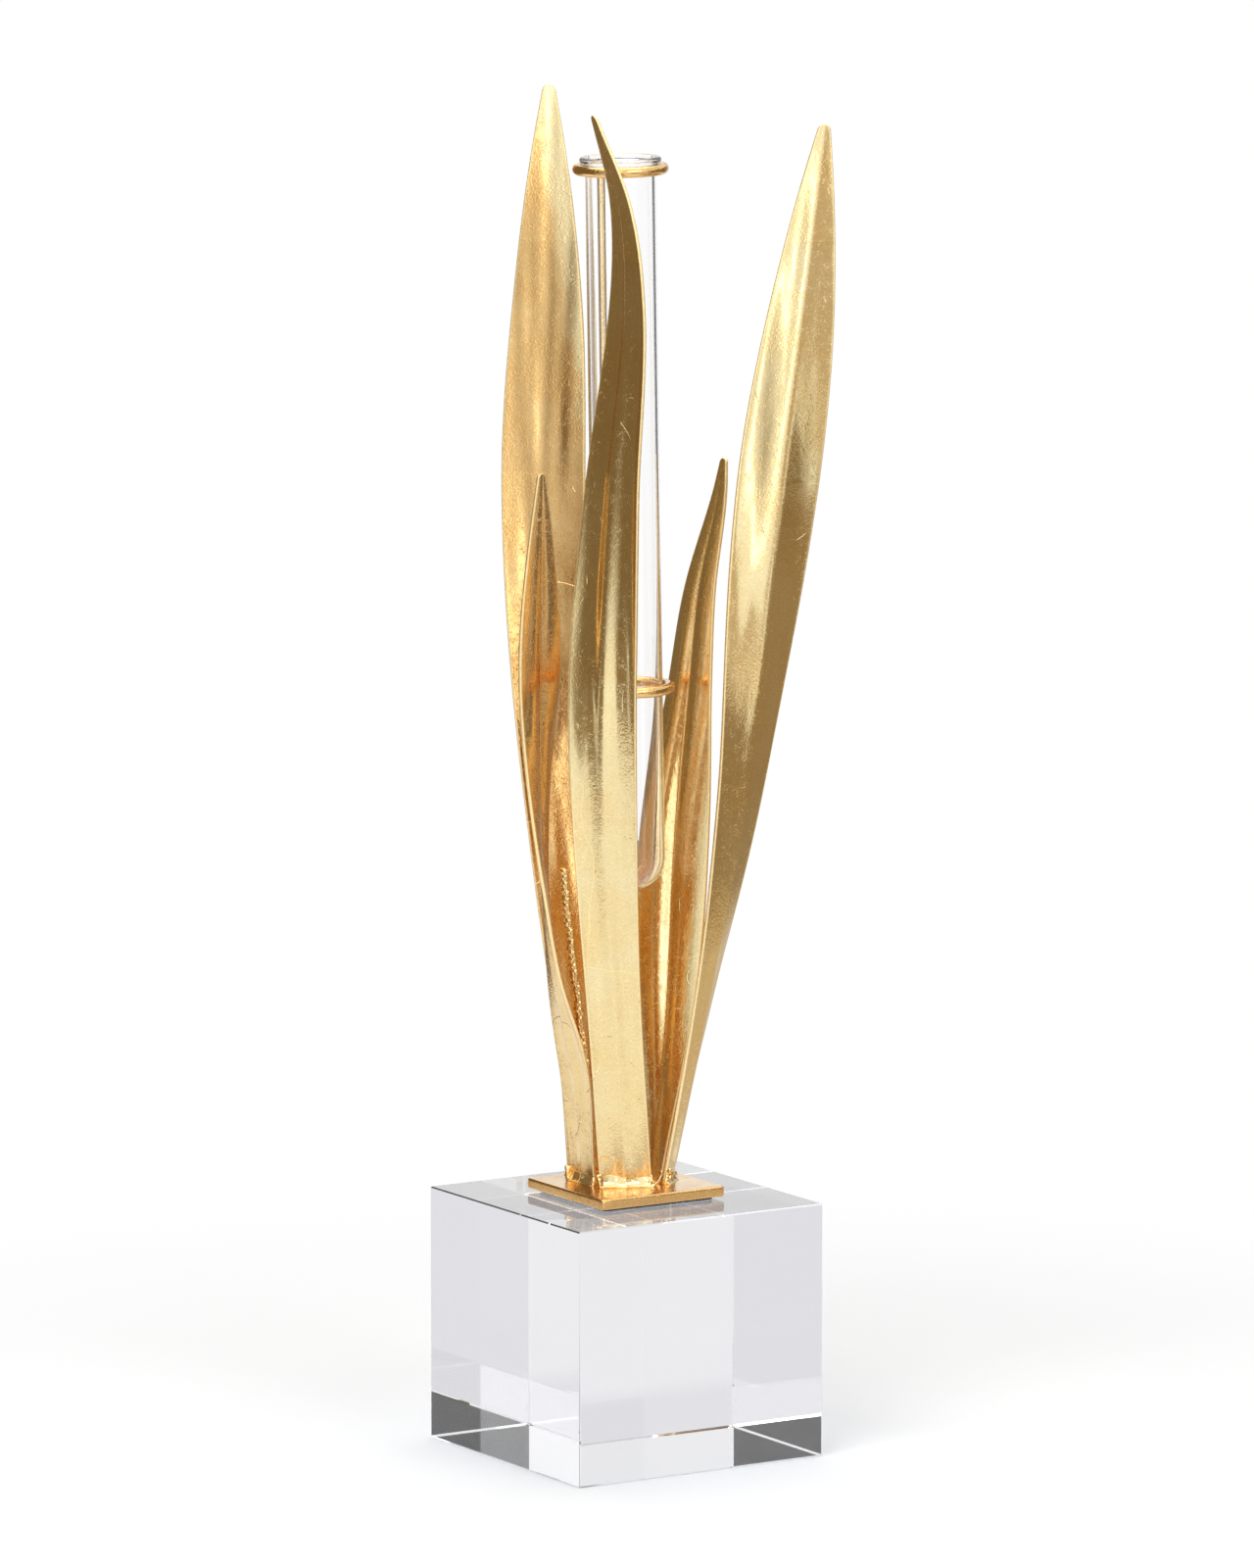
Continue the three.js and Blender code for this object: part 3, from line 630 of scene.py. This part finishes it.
def bead_tree():
    """Weld bead: a fillet, and lumps of random size scattered along a path."""
    tree, add, given = new_tree("Weld bead", {
        "Object": ("Path", "Fillet"), "Float": ("Smallest", "Largest", "Jitter"), "Int": ("Seed",),
        "Material": ("Material",)})
    path = add(OBJECT, given["Path"], output="Geometry")
    jitter = add(RANDOM, {0: (-1, -1, -1), 1: (1, 1, 1), "Seed": given["Seed"]},
                 data_type="FLOAT_VECTOR")
    jitter = add(VECTOR + "SCALE", jitter, {"Scale": given["Jitter"]})
    loose = add(MOVE, {"Geometry": path, "Offset": jitter})
    size = add(RANDOM, {2: given["Smallest"], 3: given["Largest"], "Seed": given["Seed"]},
               data_type="FLOAT", output=1)
    size = add(MULTIPLY, size, add(NAMED, {"Name": "lump"}))
    lump = add("GeometryNodeMeshIcoSphere", {"Radius": 1, "Subdivisions": 2})
    lumps = add("GeometryNodeInstanceOnPoints", {"Points": loose, "Instance": lump, "Scale": size})
    both = add("GeometryNodeJoinGeometry", lumps)
    tree.links.new(add(OBJECT, given["Fillet"], output="Geometry"), both.node.inputs[0])
    return end_tree(tree, both, given["Material"])


def wire_tree():
    """Wire run: a round wire along a path, with a slightly uneven surface."""
    tree, add, given = new_tree("Wire run", {
        "Object": ("Path",), "Float": ("Wire radius", "Uneven", "Uneven spacing"), "Material": ("Material",)})
    line = add("GeometryNodeMeshToCurve", add(OBJECT, given["Path"], output="Geometry"))
    ring = add("GeometryNodeCurvePrimitiveCircle", {"Resolution": 24, "Radius": given["Wire radius"]})
    wire = add("GeometryNodeCurveToMesh", {"Curve": line, "Profile Curve": ring, "Fill Caps": True})
    fineness = add(DIVIDE, 1, given["Uneven spacing"])
    wander = add(NOISE, {"Scale": fineness, "Detail": 2})
    wander = add(RANGE, wander, 0.25, 0.75, -1, 1)
    wander = add(MULTIPLY, wander, given["Uneven"])
    offset = add(VECTOR + "SCALE", add("GeometryNodeInputNormal"), {"Scale": wander})
    shaped = add(MOVE, {"Geometry": wire, "Offset": offset})
    return end_tree(tree, shaped, given["Material"])


def grow(name, tree, settings, helpers, melt=0, settle=4):
    """Runs a tree, melts its lumps together where asked, and returns the result as a plain mesh object."""
    piece = bpy.data.objects.new(name, bpy.data.meshes.new(name))
    bpy.context.scene.collection.objects.link(piece)
    modifier = piece.modifiers.new("Shape", "NODES")
    modifier.node_group = tree
    for item in tree.interface.items_tree:
        if item.in_out == "INPUT":
            modifier[item.identifier] = settings[item.name]
    if melt:
        remesh = piece.modifiers.new("Melt", "REMESH")
        remesh.mode, remesh.voxel_size, remesh.use_smooth_shade = "VOXEL", melt, True
        smooth = piece.modifiers.new("Settle", "SMOOTH")
        smooth.factor, smooth.iterations = 0.5, settle
    depsgraph = bpy.context.evaluated_depsgraph_get()
    made = bpy.data.meshes.new_from_object(piece.evaluated_get(depsgraph), preserve_all_data_layers=True,
                                           depsgraph=depsgraph)
    if not made.polygons:
        raise RuntimeError(f"{name} came out empty")
    piece.modifiers.clear()
    piece.data = made
    made.materials.clear()
    made.materials.append(settings["Material"])
    for helper in helpers:
        bpy.data.objects.remove(helper)
    return piece


def mesh_piece(name, points, faces, material):
    """A smooth mesh object from points and faces."""
    mesh = bpy.data.meshes.new(name)
    mesh.from_pydata([tuple(p) for p in points], [], faces)
    mesh.materials.append(material)
    mesh.polygons.foreach_set("use_smooth", [True] * len(mesh.polygons))
    piece = bpy.data.objects.new(name, mesh)
    bpy.context.scene.collection.objects.link(piece)
    return piece


def ring_faces(rings, around):
    """Faces between closed rings of points that follow each other."""
    faces = []
    for ring in range(rings - 1):
        for i in range(around):
            a, b = ring * around + i, ring * around + (i + 1) % around
            faces.append((a, b, b + around, a + around))
    return faces


def ring_caps(rings, around):
    """Faces that close the first and the last ring."""
    last = (rings - 1) * around
    return [tuple(reversed(range(around))), tuple(range(last, last + around))]


def fill_ends(piece):
    """Closes the open ends of a swept piece."""
    shape = bmesh.new()
    shape.from_mesh(piece.data)
    bmesh.ops.holes_fill(shape, edges=[e for e in shape.edges if e.is_boundary], sides=0)
    bmesh.ops.recalc_face_normals(shape, faces=shape.faces)
    shape.to_mesh(piece.data)
    shape.free()


def keep(piece, body, node):
    """Puts a finished piece on its body, in the place of its solid."""
    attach(piece, body)
    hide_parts(node)


def sheet_profile(sheet):
    """Profile of the sheet as (share across, way past the flat, stand off) points, outer face first."""
    count = sheet.columns
    shares = [2 * i / count - 1 for i in range(count + 1)]
    radius = sheet.cut_radius
    turns = [radians(a) for a in (30, 60, 90)]
    corner = [(radius * sin(a), -radius * (1 - cos(a))) for a in turns]
    edge = corner + [(x, -sheet.thickness - z) for x, z in reversed(corner)]
    outer = [(s, 0, 0) for s in shares]
    inner = [(s, 0, -sheet.thickness) for s in reversed(shares)]
    right = [(1, x, z) for x, z in edge]
    left = [(-1, -x, z) for x, z in reversed(edge)]
    return outer + right + inner + left + outer[:1]


class VASE_OT_leaves(Operator):
    """Makes the gilded leaves"""

    bl_idname = "vase.leaves"
    bl_label = "Leaves"

    def execute(self, context):
        sheet = context.scene.vase_sheet
        bright = gold_leaf("gold leaf on pressed sheet", True)
        satin = gold_leaf("satin gold leaf on pressed sheet", True, satin=True)
        soft = gold_leaf("soft gold leaf on pressed sheet", True, soft=True)
        tree = leaf_tree()
        for seed, name in enumerate(LEAVES):
            run = LeafRun(name)
            tip = run.cut["Tip radius"]
            shoulder = run.height - tip
            heights = [shoulder * i / sheet.rows for i in range(sheet.rows + 1)]
            heights += [shoulder + tip * sin(radians(a)) for a in TIP_ANGLES]
            places = [run.at(z) for z in heights]
            points = [bunch_frame() @ Vector((x * MM, y * MM, z * MM))
                      for (x, y, _), z in zip(places, heights)]
            facing = [radians(place[2] + BUNCH_TURN) for place in places]
            path = path_object(points, facing=facing, height=[z * MM for z in heights])
            outline = sheet_profile(sheet)
            profile = path_object(outline)
            settings = {k: v * (MM if k.split()[-1] in ("width", "radius", "rise") else 1)
                        for k, v in (run.cut | run.form).items()}
            settings |= {k: tuple(part * MM for part in dent) for k, dent in zip(DENTS, run.dents)}
            settings |= {
                "Path": path, "Profile": profile, "Rows": len(heights), "Columns": len(outline),
                "Height": run.height * MM, "Cut radius": sheet.cut_radius, "Hammer depth": sheet.hammer_depth,
                "Hammer spacing": sheet.hammer_spacing, "Hammer stretch": sheet.hammer_stretch,
                "Hammer seed": seed * HAMMER_SEED_STEP,
                "Dent size": (1 / sheet.dent_width, 1 / sheet.dent_length, 0),
                "Pale above": PALE_ABOVE.get(name, 2 * run.height) * MM,
                "Pale below": PALE_BELOW.get(name, -run.height) * MM,
                "Material": satin if name in SATIN else soft if name in SOFT else bright}
            piece = grow("gilded_" + name, tree, settings, (path, profile))
            fill_ends(piece)
            keep(piece, "stand", name)
        return {"FINISHED"}


def bead(tree, material, node, points, radius, seed, spread=(0.75, 1.3), jitter=0.35, settle=4, fillet=None):
    """One weld: a fillet where there is one, and lumps along points, melted together."""
    path = path_object(points, lump=[radius] * len(points))
    settings = {"Path": path, "Fillet": fillet, "Smallest": spread[0], "Largest": spread[1],
                "Jitter": jitter * MM, "Seed": seed, "Material": material}
    helpers = (path, fillet) if fillet else (path,)
    piece = grow("gilded_" + node, tree, settings, helpers, bpy.context.scene.vase_weld.voxel, settle)
    keep(piece, "stand", node)


def foot_fillet(run, sheet, weld, material):
    """A helper: the hollow fillet along a leaf's foot, a little wider than it, with an uneven upper edge."""
    face = 0 if run.weld_side == OUTER else -sheet.thickness / MM
    height, reach, sunk = weld.height / MM, weld.reach / MM, -0.6
    steps, bend, wide = 48, 10, 1.04
    rag_count, rag_depth, droop, droop_from = 4, 0.3, 0.35, 0.85
    points = []
    for i in range(steps + 1):
        across = 2 * wide * i / steps - wide
        rag = 1 + rag_depth * noise.noise(Vector((across * rag_count, run.height, 0)))
        rag -= droop * max(0, abs(across) - droop_from)
        section = [(sunk, 0), (sunk, height * rag)]
        for k in range(bend + 1):
            turn = pi / 2 * k / bend
            section.append((reach * (1 - cos(turn)), height * rag * (1 - sin(turn))))
        points += [run.face_point(across, z, face + off * run.weld_side) for off, z in section]
    rings, around = steps + 1, bend + 3
    return mesh_piece("fillet", points, ring_faces(rings, around) + ring_caps(rings, around), material)


class VASE_OT_welds(Operator):
    """Makes the weld beads and the rib in the left tall leaf"""

    bl_idname = "vase.welds"
    bl_label = "Welds"

    def execute(self, context):
        sheet, weld = context.scene.vase_sheet, context.scene.vase_weld
        wire = context.scene.vase_wire.wire / MM / 2
        material = gold_leaf("gold leaf on weld", False)
        tree = bead_tree()
        noise.seed_set(SPATTER_SEED)
        for seed, name in enumerate(LEAVES):
            run = LeafRun(name)
            points = []
            for i in range(SPATTER[name]):
                spot = noise.random_unit_vector()
                corner = -1 if i % 5 else 1
                climb = SPATTER_CLIMB[corner] + SPATTER_CLIMB[corner] * spot.y
                across = corner * (1 + SPATTER_STRAY * spot.x)
                points.append(run.face_point(across, climb, SPATTER_OFF + SPATTER_DEPTH * spot.z))
            fillet = foot_fillet(run, sheet, weld, material)
            bead(tree, material, name + "_weld", points, weld.lump, seed, spread=(0.6, 1.2), jitter=0.2,
                 settle=3, fillet=fillet)
        run = LeafRun(RIBBED_LEAF)
        steps = round(RIB_HEIGHT / RIB_STEP)
        inside = -sheet.thickness / MM - RIB_OFF
        points = [run.face_point(0, RIB_HEIGHT * i / steps, inside) for i in range(steps + 1)]
        bead(tree, material, "leaf_rib", points, RIB_LUMP * MM, RIB_SEED, spread=(0.8, 1.15), jitter=0.3)
        place = holder_frame()
        towards = TUBE_OFFSET.normalized()
        middle = towards * (STEM_DISTANCE - RING_OUTSIDE)
        sideways = Vector((-towards.y, towards.x))
        for level, height in RING_HEIGHTS.items():
            points = []
            for turn in circle(RING_LUMPS):
                spot = (middle + sideways * RING_OVAL[0] * cos(turn)).to_3d()
                spot.z = height - RING_DROP + RING_OVAL[1] * sin(turn)
                points.append(place @ (spot * MM))
            bead(tree, material, level + "_ring_weld", points, RING_LUMP * MM, RING_SEED + height)
        out = wire + STEM_GAP
        points = [place @ (Vector((out * cos(a), out * sin(a), STEM_RISE)) * MM) for a in circle(STEM_LUMPS)]
        bead(tree, material, "stem_weld", points, STEM_LUMP * MM, STEM_SEED)
        return {"FINISHED"}


class VASE_OT_holder(Operator):
    """Makes the wire stem and rings"""

    bl_idname = "vase.holder"
    bl_label = "Wire holder"

    def execute(self, context):
        wire = context.scene.vase_wire
        # The rings' satin gold is partly painted reflection of gold in gold
        satin = gold_leaf("satin gold leaf with painted reflection on ring", False, satin=True)
        bright = gold_leaf("gold leaf on stem", False)
        tree = wire_tree()
        place = holder_frame()
        rise = RING_HEIGHTS["upper"] - STEM_START
        runs = {"stem": [Vector((0, 0, STEM_START + rise * i / STEM_STEPS)) for i in range(STEM_STEPS + 1)]}
        for level, height in RING_HEIGHTS.items():
            x, y = TUBE_OFFSET
            runs[level + "_ring"] = [
                Vector((x + RING_RADIUS * cos(a), y + RING_RADIUS * sin(a), height))
                for a in circle(RING_STEPS)]
        for name, points in runs.items():
            path = path_object([place @ (p * MM) for p in points], name != "stem")
            settings = {"Path": path, "Wire radius": wire.wire / 2, "Uneven": wire.uneven,
                        "Uneven spacing": WIRE_GRAIN, "Material": bright if name == "stem" else satin}
            piece = grow("gilded_" + name, tree, settings, (path,))
            keep(piece, "stand", name)
        return {"FINISHED"}


def arc(radius, centre, level, start, end, steps):
    """Points of an arc in a (radius, height) plane, angles in degrees."""
    angles = [radians(start + (end - start) * i / steps) for i in range(steps + 1)]
    return [(centre + radius * cos(a), level + radius * sin(a)) for a in angles]


class VASE_OT_tube(Operator):
    """Makes the glass tube"""

    bl_idname = "vase.tube"
    bl_label = "Glass tube"

    def execute(self, context):
        tube = context.scene.vase_tube
        fillet, seat = 1.2 * MM, 0.3 * MM
        wire = context.scene.vase_wire.wire / 2
        outside, bore, lip = tube.diameter / 2, tube.diameter / 2 - tube.wall, tube.lip / 2
        overhang = RING_RADIUS * MM - lip
        under = sqrt(wire ** 2 - overhang ** 2) + seat
        top = under + tube.lip_thickness
        bottom = top - tube.total
        lip_round = tube.lip_thickness / 2
        profile = arc(outside, 0, bottom + outside, -90, 0, 24)
        profile += arc(fillet, outside + fillet, under - fillet, 180, 90, 8)
        profile += arc(lip_round, lip - lip_round, under + lip_round, -90, 90, 14)
        profile += arc(fillet, bore + fillet, top - fillet, 90, 180, 8)
        profile += arc(bore, 0, bottom + outside, 0, -90, 24)
        rings, around = len(profile) - 2, TUBE_STEPS
        points = [(radius * cos(turn), radius * sin(turn), level)
                  for radius, level in profile[1:-1] for turn in circle(around)]
        points += [(0, 0, profile[0][1]), (0, 0, profile[-1][1])]
        faces = ring_faces(rings, around)
        for ring, pole in ((0, rings * around), (rings - 1, rings * around + 1)):
            for i in range(around):
                a, b = ring * around + i, ring * around + (i + 1) % around
                faces.append((pole, b, a) if ring == 0 else (pole, a, b))
        middle = Vector((TUBE_OFFSET.x * MM, TUBE_OFFSET.y * MM, RING_HEIGHTS["upper"] * MM))
        place = holder_frame()
        material = clear_glass("drawn borosilicate glass", tube.tint, index=1.47, wave=0.03, depth=0.00002)
        points = [place @ (middle + Vector(p)) for p in points]
        piece = mesh_piece("clear_glass_tube", points, faces, material)
        keep(piece, "tube", "glass_tube")
        return {"FINISHED"}


def rounded_square(half, corner, straight, turn):
    """Outline of a square with round corners, going round to the left."""
    points = []
    for quarter in range(4):
        middle = Vector((half - corner, half - corner))
        bend = [Vector((cos(a), sin(a))) * corner + middle
                for a in [pi / 2 * i / turn for i in range(turn + 1)]]
        side = [bend[-1] + Vector((-2 * (half - corner) * i / straight, 0)) for i in range(1, straight)]
        spin = Matrix.Rotation(pi / 2 * quarter, 2)
        points += [spin @ p for p in bend + side]
    return points


class VASE_OT_plate(Operator):
    """Makes the gilded plate"""

    bl_idname = "vase.plate"
    bl_label = "Plate"

    def execute(self, context):
        base = context.scene.vase_base
        half, edge = base.plate_side / 2, base.plate_edge
        top = PLATE_TOP * MM
        bottom = top - base.plate_thickness
        turns = [radians(a) for a in range(0, 91, 15)]
        rim = [(edge * (1 - sin(a)), edge * (1 - cos(a))) for a in turns]
        inwards = [edge + (half - edge) * i / 16 for i in range(1, 16)]
        levels = [(inset, bottom) for inset in reversed(inwards)]
        levels += [(inset, bottom + rise) for inset, rise in rim]
        levels += [(inset, top - rise) for inset, rise in reversed(rim)]
        levels += [(inset, top) for inset in inwards]
        points = []
        for inset, level in levels:
            corner = min(max(base.plate_corner - inset, 0.2 * MM), (half - inset) * 0.9)
            points += [Vector((p.x, p.y, level)) for p in rounded_square(half - inset, corner, 24, 6)]
        for p in points:
            wander = Vector()
            for size, depth in PLATE_WAVER:
                wander += noise.noise_vector(p / size) * depth * MM
            if p.z < bottom + 0.2 * MM:
                wander.z = 0
            p += wander
        rings = len(levels)
        around = len(points) // rings
        faces = ring_faces(rings, around) + ring_caps(rings, around)
        # The plate's satin gold is partly painted reflection of the leaves' gold in it
        material = gold_leaf("satin gold leaf with painted reflection on plate", False, satin=True)
        keep(mesh_piece("gilded_plate", points, faces, material), "stand", "base_plate")
        return {"FINISHED"}


class VASE_OT_block(Operator):
    """Finishes the crystal block and the bonding pad"""

    bl_idname = "vase.block"
    bl_label = "Crystal block"

    def execute(self, context):
        base = context.scene.vase_base
        finishes = {
            "crystal_block": clear_glass("polished optical crystal", base.tint, index=1.52, wave=0.05,
                                         depth=0.000004),
            "bonding_pad": clear_glass("clear bonding resin", base.tint, index=1.5, wave=0.004,
                                       depth=0.00001),
        }
        for node, material in finishes.items():
            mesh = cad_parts[node].data
            mesh.materials.clear()
            mesh.materials.append(material)
        return {"FINISHED"}


def direction(bearing_degrees, rise_degrees):
    """Unit vector by a bearing in the part's frame and an angle above the floor."""
    rise = radians(rise_degrees)
    return (bearing(bearing_degrees) * cos(rise)).to_3d() + Vector((0, 0, sin(rise)))


def aim(thing, spot):
    """Turns a lamp or the camera towards a place."""
    thing.rotation_mode = "QUATERNION"
    thing.rotation_quaternion = (spot - thing.location).to_track_quat("-Z", "Y")


def rays(add):
    """What the light path knows of a ray, whether the ray shows what it meets, and whether metal sent it.
    Metal is told from glass by its reflections, which aren't perfectly sharp."""
    ray = add("ShaderNodeLightPath").node.outputs
    seen = add(MAXIMUM, ray["Is Camera Ray"], ray["Is Glossy Ray"])
    seen = add(MAXIMUM, seen, ray["Is Transmission Ray"])
    metal = add(SUBTRACT, ray["Is Glossy Ray"], ray["Is Singular Ray"], use_clamp=True)
    return ray, seen, metal


class VASE_OT_stage(Operator):
    """Makes the floor, the light and the camera"""

    bl_idname = "vase.stage"
    bl_label = "Stage"

    def execute(self, context):
        scene = context.scene
        stage = scene.vase_stage
        self.floor(stage)
        self.world(scene, stage)
        self.lamps(scene, stage)
        self.cards(stage)
        camera = bpy.data.objects.new("camera", bpy.data.cameras.new("camera"))
        scene.collection.objects.link(camera)
        camera.data.sensor_width = CAMERA["sensor"]
        camera.data.lens = CAMERA["lens"]
        target = (bearing(CAMERA["bearing"] + 90) * CAMERA["right"]).to_3d() + Vector((0, 0, CAMERA["up"]))
        camera.location = target + direction(CAMERA["bearing"], CAMERA["rise"]) * CAMERA["distance"]
        aim(camera, target)
        scene.camera = camera
        scene.view_settings.view_transform = "Standard"
        return {"FINISHED"}

    def floor(self, stage):
        """White paper: plain and shadowed near the vase, and as white as the background further out. Glass
        sees painted shade on it, a little darker under and beside the block, and metal sees the studio's
        sheen in it."""
        material, add = empty_material("white paper floor")
        ray, seen, metal = rays(add)
        place = add(COORDINATES, output="Object")
        away = add(VECTOR + "LENGTH", place, output="Value")
        aside = add(SPLIT_XYZ, add(VECTOR + "ABSOLUTE", place)).node.outputs
        aside = add(MAXIMUM, aside[0], aside[1])
        # Painted shade that glass sees: grey under the block, pale lilac beside it, white further out
        clear = add(RANGE, aside, *FOOTPRINT_END)
        tint = add(MIX, {0: clear, 6: (*stage.footprint, 1), 7: (*stage.near, 1)}, **RGBA)
        tint = add(MIX, {0: add(RANGE, aside, *NEAR_END), 6: tint, 7: WHITE}, **RGBA)
        tint = add(MIX, {0: metal, 6: tint, 7: (*stage.sheen, 1)}, **RGBA)
        strength = add(RANGE, metal, 0, 1, 1, stage.sheen_strength)
        far = add(RANGE, away, *SHADOW_END, interpolation_type="SMOOTHSTEP")
        far = add(MULTIPLY, far, seen)
        far = add(MAXIMUM, far, ray["Is Transmission Ray"])
        far = add(MAXIMUM, far, metal)
        paper = add("ShaderNodeBsdfDiffuse", {"Color": (*stage.floor, 1)})
        white = add("ShaderNodeEmission", {"Color": tint, "Strength": strength})
        add(SURFACE, add("ShaderNodeMixShader", far, paper, white))
        size, level = FLOOR_HALF, -FLOOR_DROP * MM
        corners = [(-size, -size, level), (size, -size, level), (size, size, level), (-size, size, level)]
        mesh_piece("floor", corners, [(0, 1, 2, 3)], material)

    def world(self, scene, stage):
        """White background for the camera and glass, a brighter, bluish painted sheen for metal, and a softer
        dome for everything else.
        """
        world = bpy.data.worlds.new("studio")
        world.use_nodes = True
        world.node_tree.nodes.clear()
        add = partial(add_node, world.node_tree)
        _, seen, metal = rays(add)
        strength = add(RANGE, seen, 0, 1, stage.dome, 1)
        strength = add(MULTIPLY_ADD, metal, stage.sheen_strength - 1, strength)
        tint = add(MIX, {0: metal, 6: WHITE, 7: (*stage.sheen, 1)}, **RGBA)
        light = add("ShaderNodeBackground", {"Color": tint, "Strength": strength})
        add("ShaderNodeOutputWorld", light)
        scene.world = world

    def lamps(self, scene, stage):
        """Soft boxes that the camera doesn't see."""
        for name, (turn, rise, distance, width, height, power) in LAMPS.items():
            light = bpy.data.lights.new(name, "AREA")
            light.shape, light.size, light.size_y = "RECTANGLE", width, height
            light.energy = power * stage.lamps
            lamp = bpy.data.objects.new(name, light)
            lamp.visible_camera = False
            scene.collection.objects.link(lamp)
            lamp.location = MIDDLE + direction(turn + BUNCH_TURN, rise) * distance
            aim(lamp, MIDDLE)

    def cards(self, stage):
        """Darker cards round the vase, which give metal and glass their bands and fade to white at the ends.
        Turned cards show only where a wall of glass or a leaf reflects them, so that a look straight through
        glass stays white."""
        for name, (seen_by, code, start, end, low, high, fade_in, fade_out) in CARDS.items():
            material, add = empty_material(name)
            ray = add("ShaderNodeLightPath").node.outputs
            shade = add(ATTRIBUTE, attribute_name="shade", output="Fac")
            shade = add(RANGE, shade, interpolation_type="SMOOTHSTEP")
            white = WHITE
            if seen_by == "metal":
                sharp = ray["Is Singular Ray"]
                shade = add(SUBTRACT, shade, sharp, use_clamp=True)
                sheen = (*(stage.sheen_strength * part for part in stage.sheen), 1)
                white = add(MIX, {0: sharp, 6: sheen, 7: WHITE}, **RGBA)
            if seen_by == "turned":
                turns = add(SUBTRACT, ray["Ray Depth"], ray["Transmission Depth"])
                shade = add(MULTIPLY, shade, add("ShaderNodeMath GREATER_THAN", turns, 0.5))
            shown = add(MIX, {0: shade, 6: white, 7: (*linear(code), 1)}, **RGBA)
            add(SURFACE, add("ShaderNodeEmission", {"Color": shown, "Strength": 1}))
            points, shades = [], []
            for i in range(CARD_STEPS + 1):
                turn = start + (end - start) * i / CARD_STEPS
                for distance, height in (low, high):
                    points.append((bearing(turn + BUNCH_TURN) * distance).to_3d() + Vector((0, 0, height)))
                shades += [min((turn - start) / fade_in, (end - turn) / fade_out, 1)] * 2
            faces = [(2 * i, 2 * i + 1, 2 * i + 3, 2 * i + 2) for i in range(CARD_STEPS)]
            card = mesh_piece(name, points, faces, material)
            card.data.attributes.new("shade", "FLOAT", "POINT").data.foreach_set("value", shades)
            card.visible_camera = card.visible_diffuse = False
            card.visible_shadow = card.visible_volume_scatter = False
            card.visible_glossy = seen_by == "metal"
            card.visible_transmission = seen_by != "metal"


class VASE_PT_panel(Panel):
    """Lists the settings and the pieces of the vase"""

    bl_label = "Bud Vase"
    bl_idname = "VASE_PT_panel"
    bl_space_type = "VIEW_3D"
    bl_region_type = "UI"
    bl_category = "Bud Vase"

    def draw(self, context):
        for name, group in SETTINGS.items():
            box = self.layout.box()
            box.label(text=group.__doc__)
            for field in group.__annotations__:
                box.prop(getattr(context.scene, name), field)
        for operator in OPERATORS:
            self.layout.operator(operator.bl_idname)


SETTINGS = {"vase_sheet": LeafSheet, "vase_gold": GoldLeaf, "vase_weld": WeldBead, "vase_wire": WireHolder,
            "vase_tube": GlassTube, "vase_base": CrystalBase, "vase_stage": StudioStage}
OPERATORS = (VASE_OT_leaves, VASE_OT_welds, VASE_OT_holder, VASE_OT_tube, VASE_OT_plate, VASE_OT_block,
             VASE_OT_stage)


def register():
    """Registers the classes and puts the settings on the scene."""
    for kind in (*SETTINGS.values(), *OPERATORS, VASE_PT_panel):
        bpy.utils.register_class(kind)
    for name, group in SETTINGS.items():
        setattr(bpy.types.Scene, name, PointerProperty(type=group))


def unregister():
    """Takes the settings and classes away."""
    for name in SETTINGS:
        delattr(bpy.types.Scene, name)
    for kind in (VASE_PT_panel, *reversed(OPERATORS), *reversed(list(SETTINGS.values()))):
        bpy.utils.unregister_class(kind)


def main():
    """Registers the settings and builds every piece in order."""
    register()
    bpy.ops.vase.leaves()
    bpy.ops.vase.welds()
    bpy.ops.vase.holder()
    bpy.ops.vase.tube()
    bpy.ops.vase.plate()
    bpy.ops.vase.block()
    bpy.ops.vase.stage()


if __name__ == "__main__":
    main()
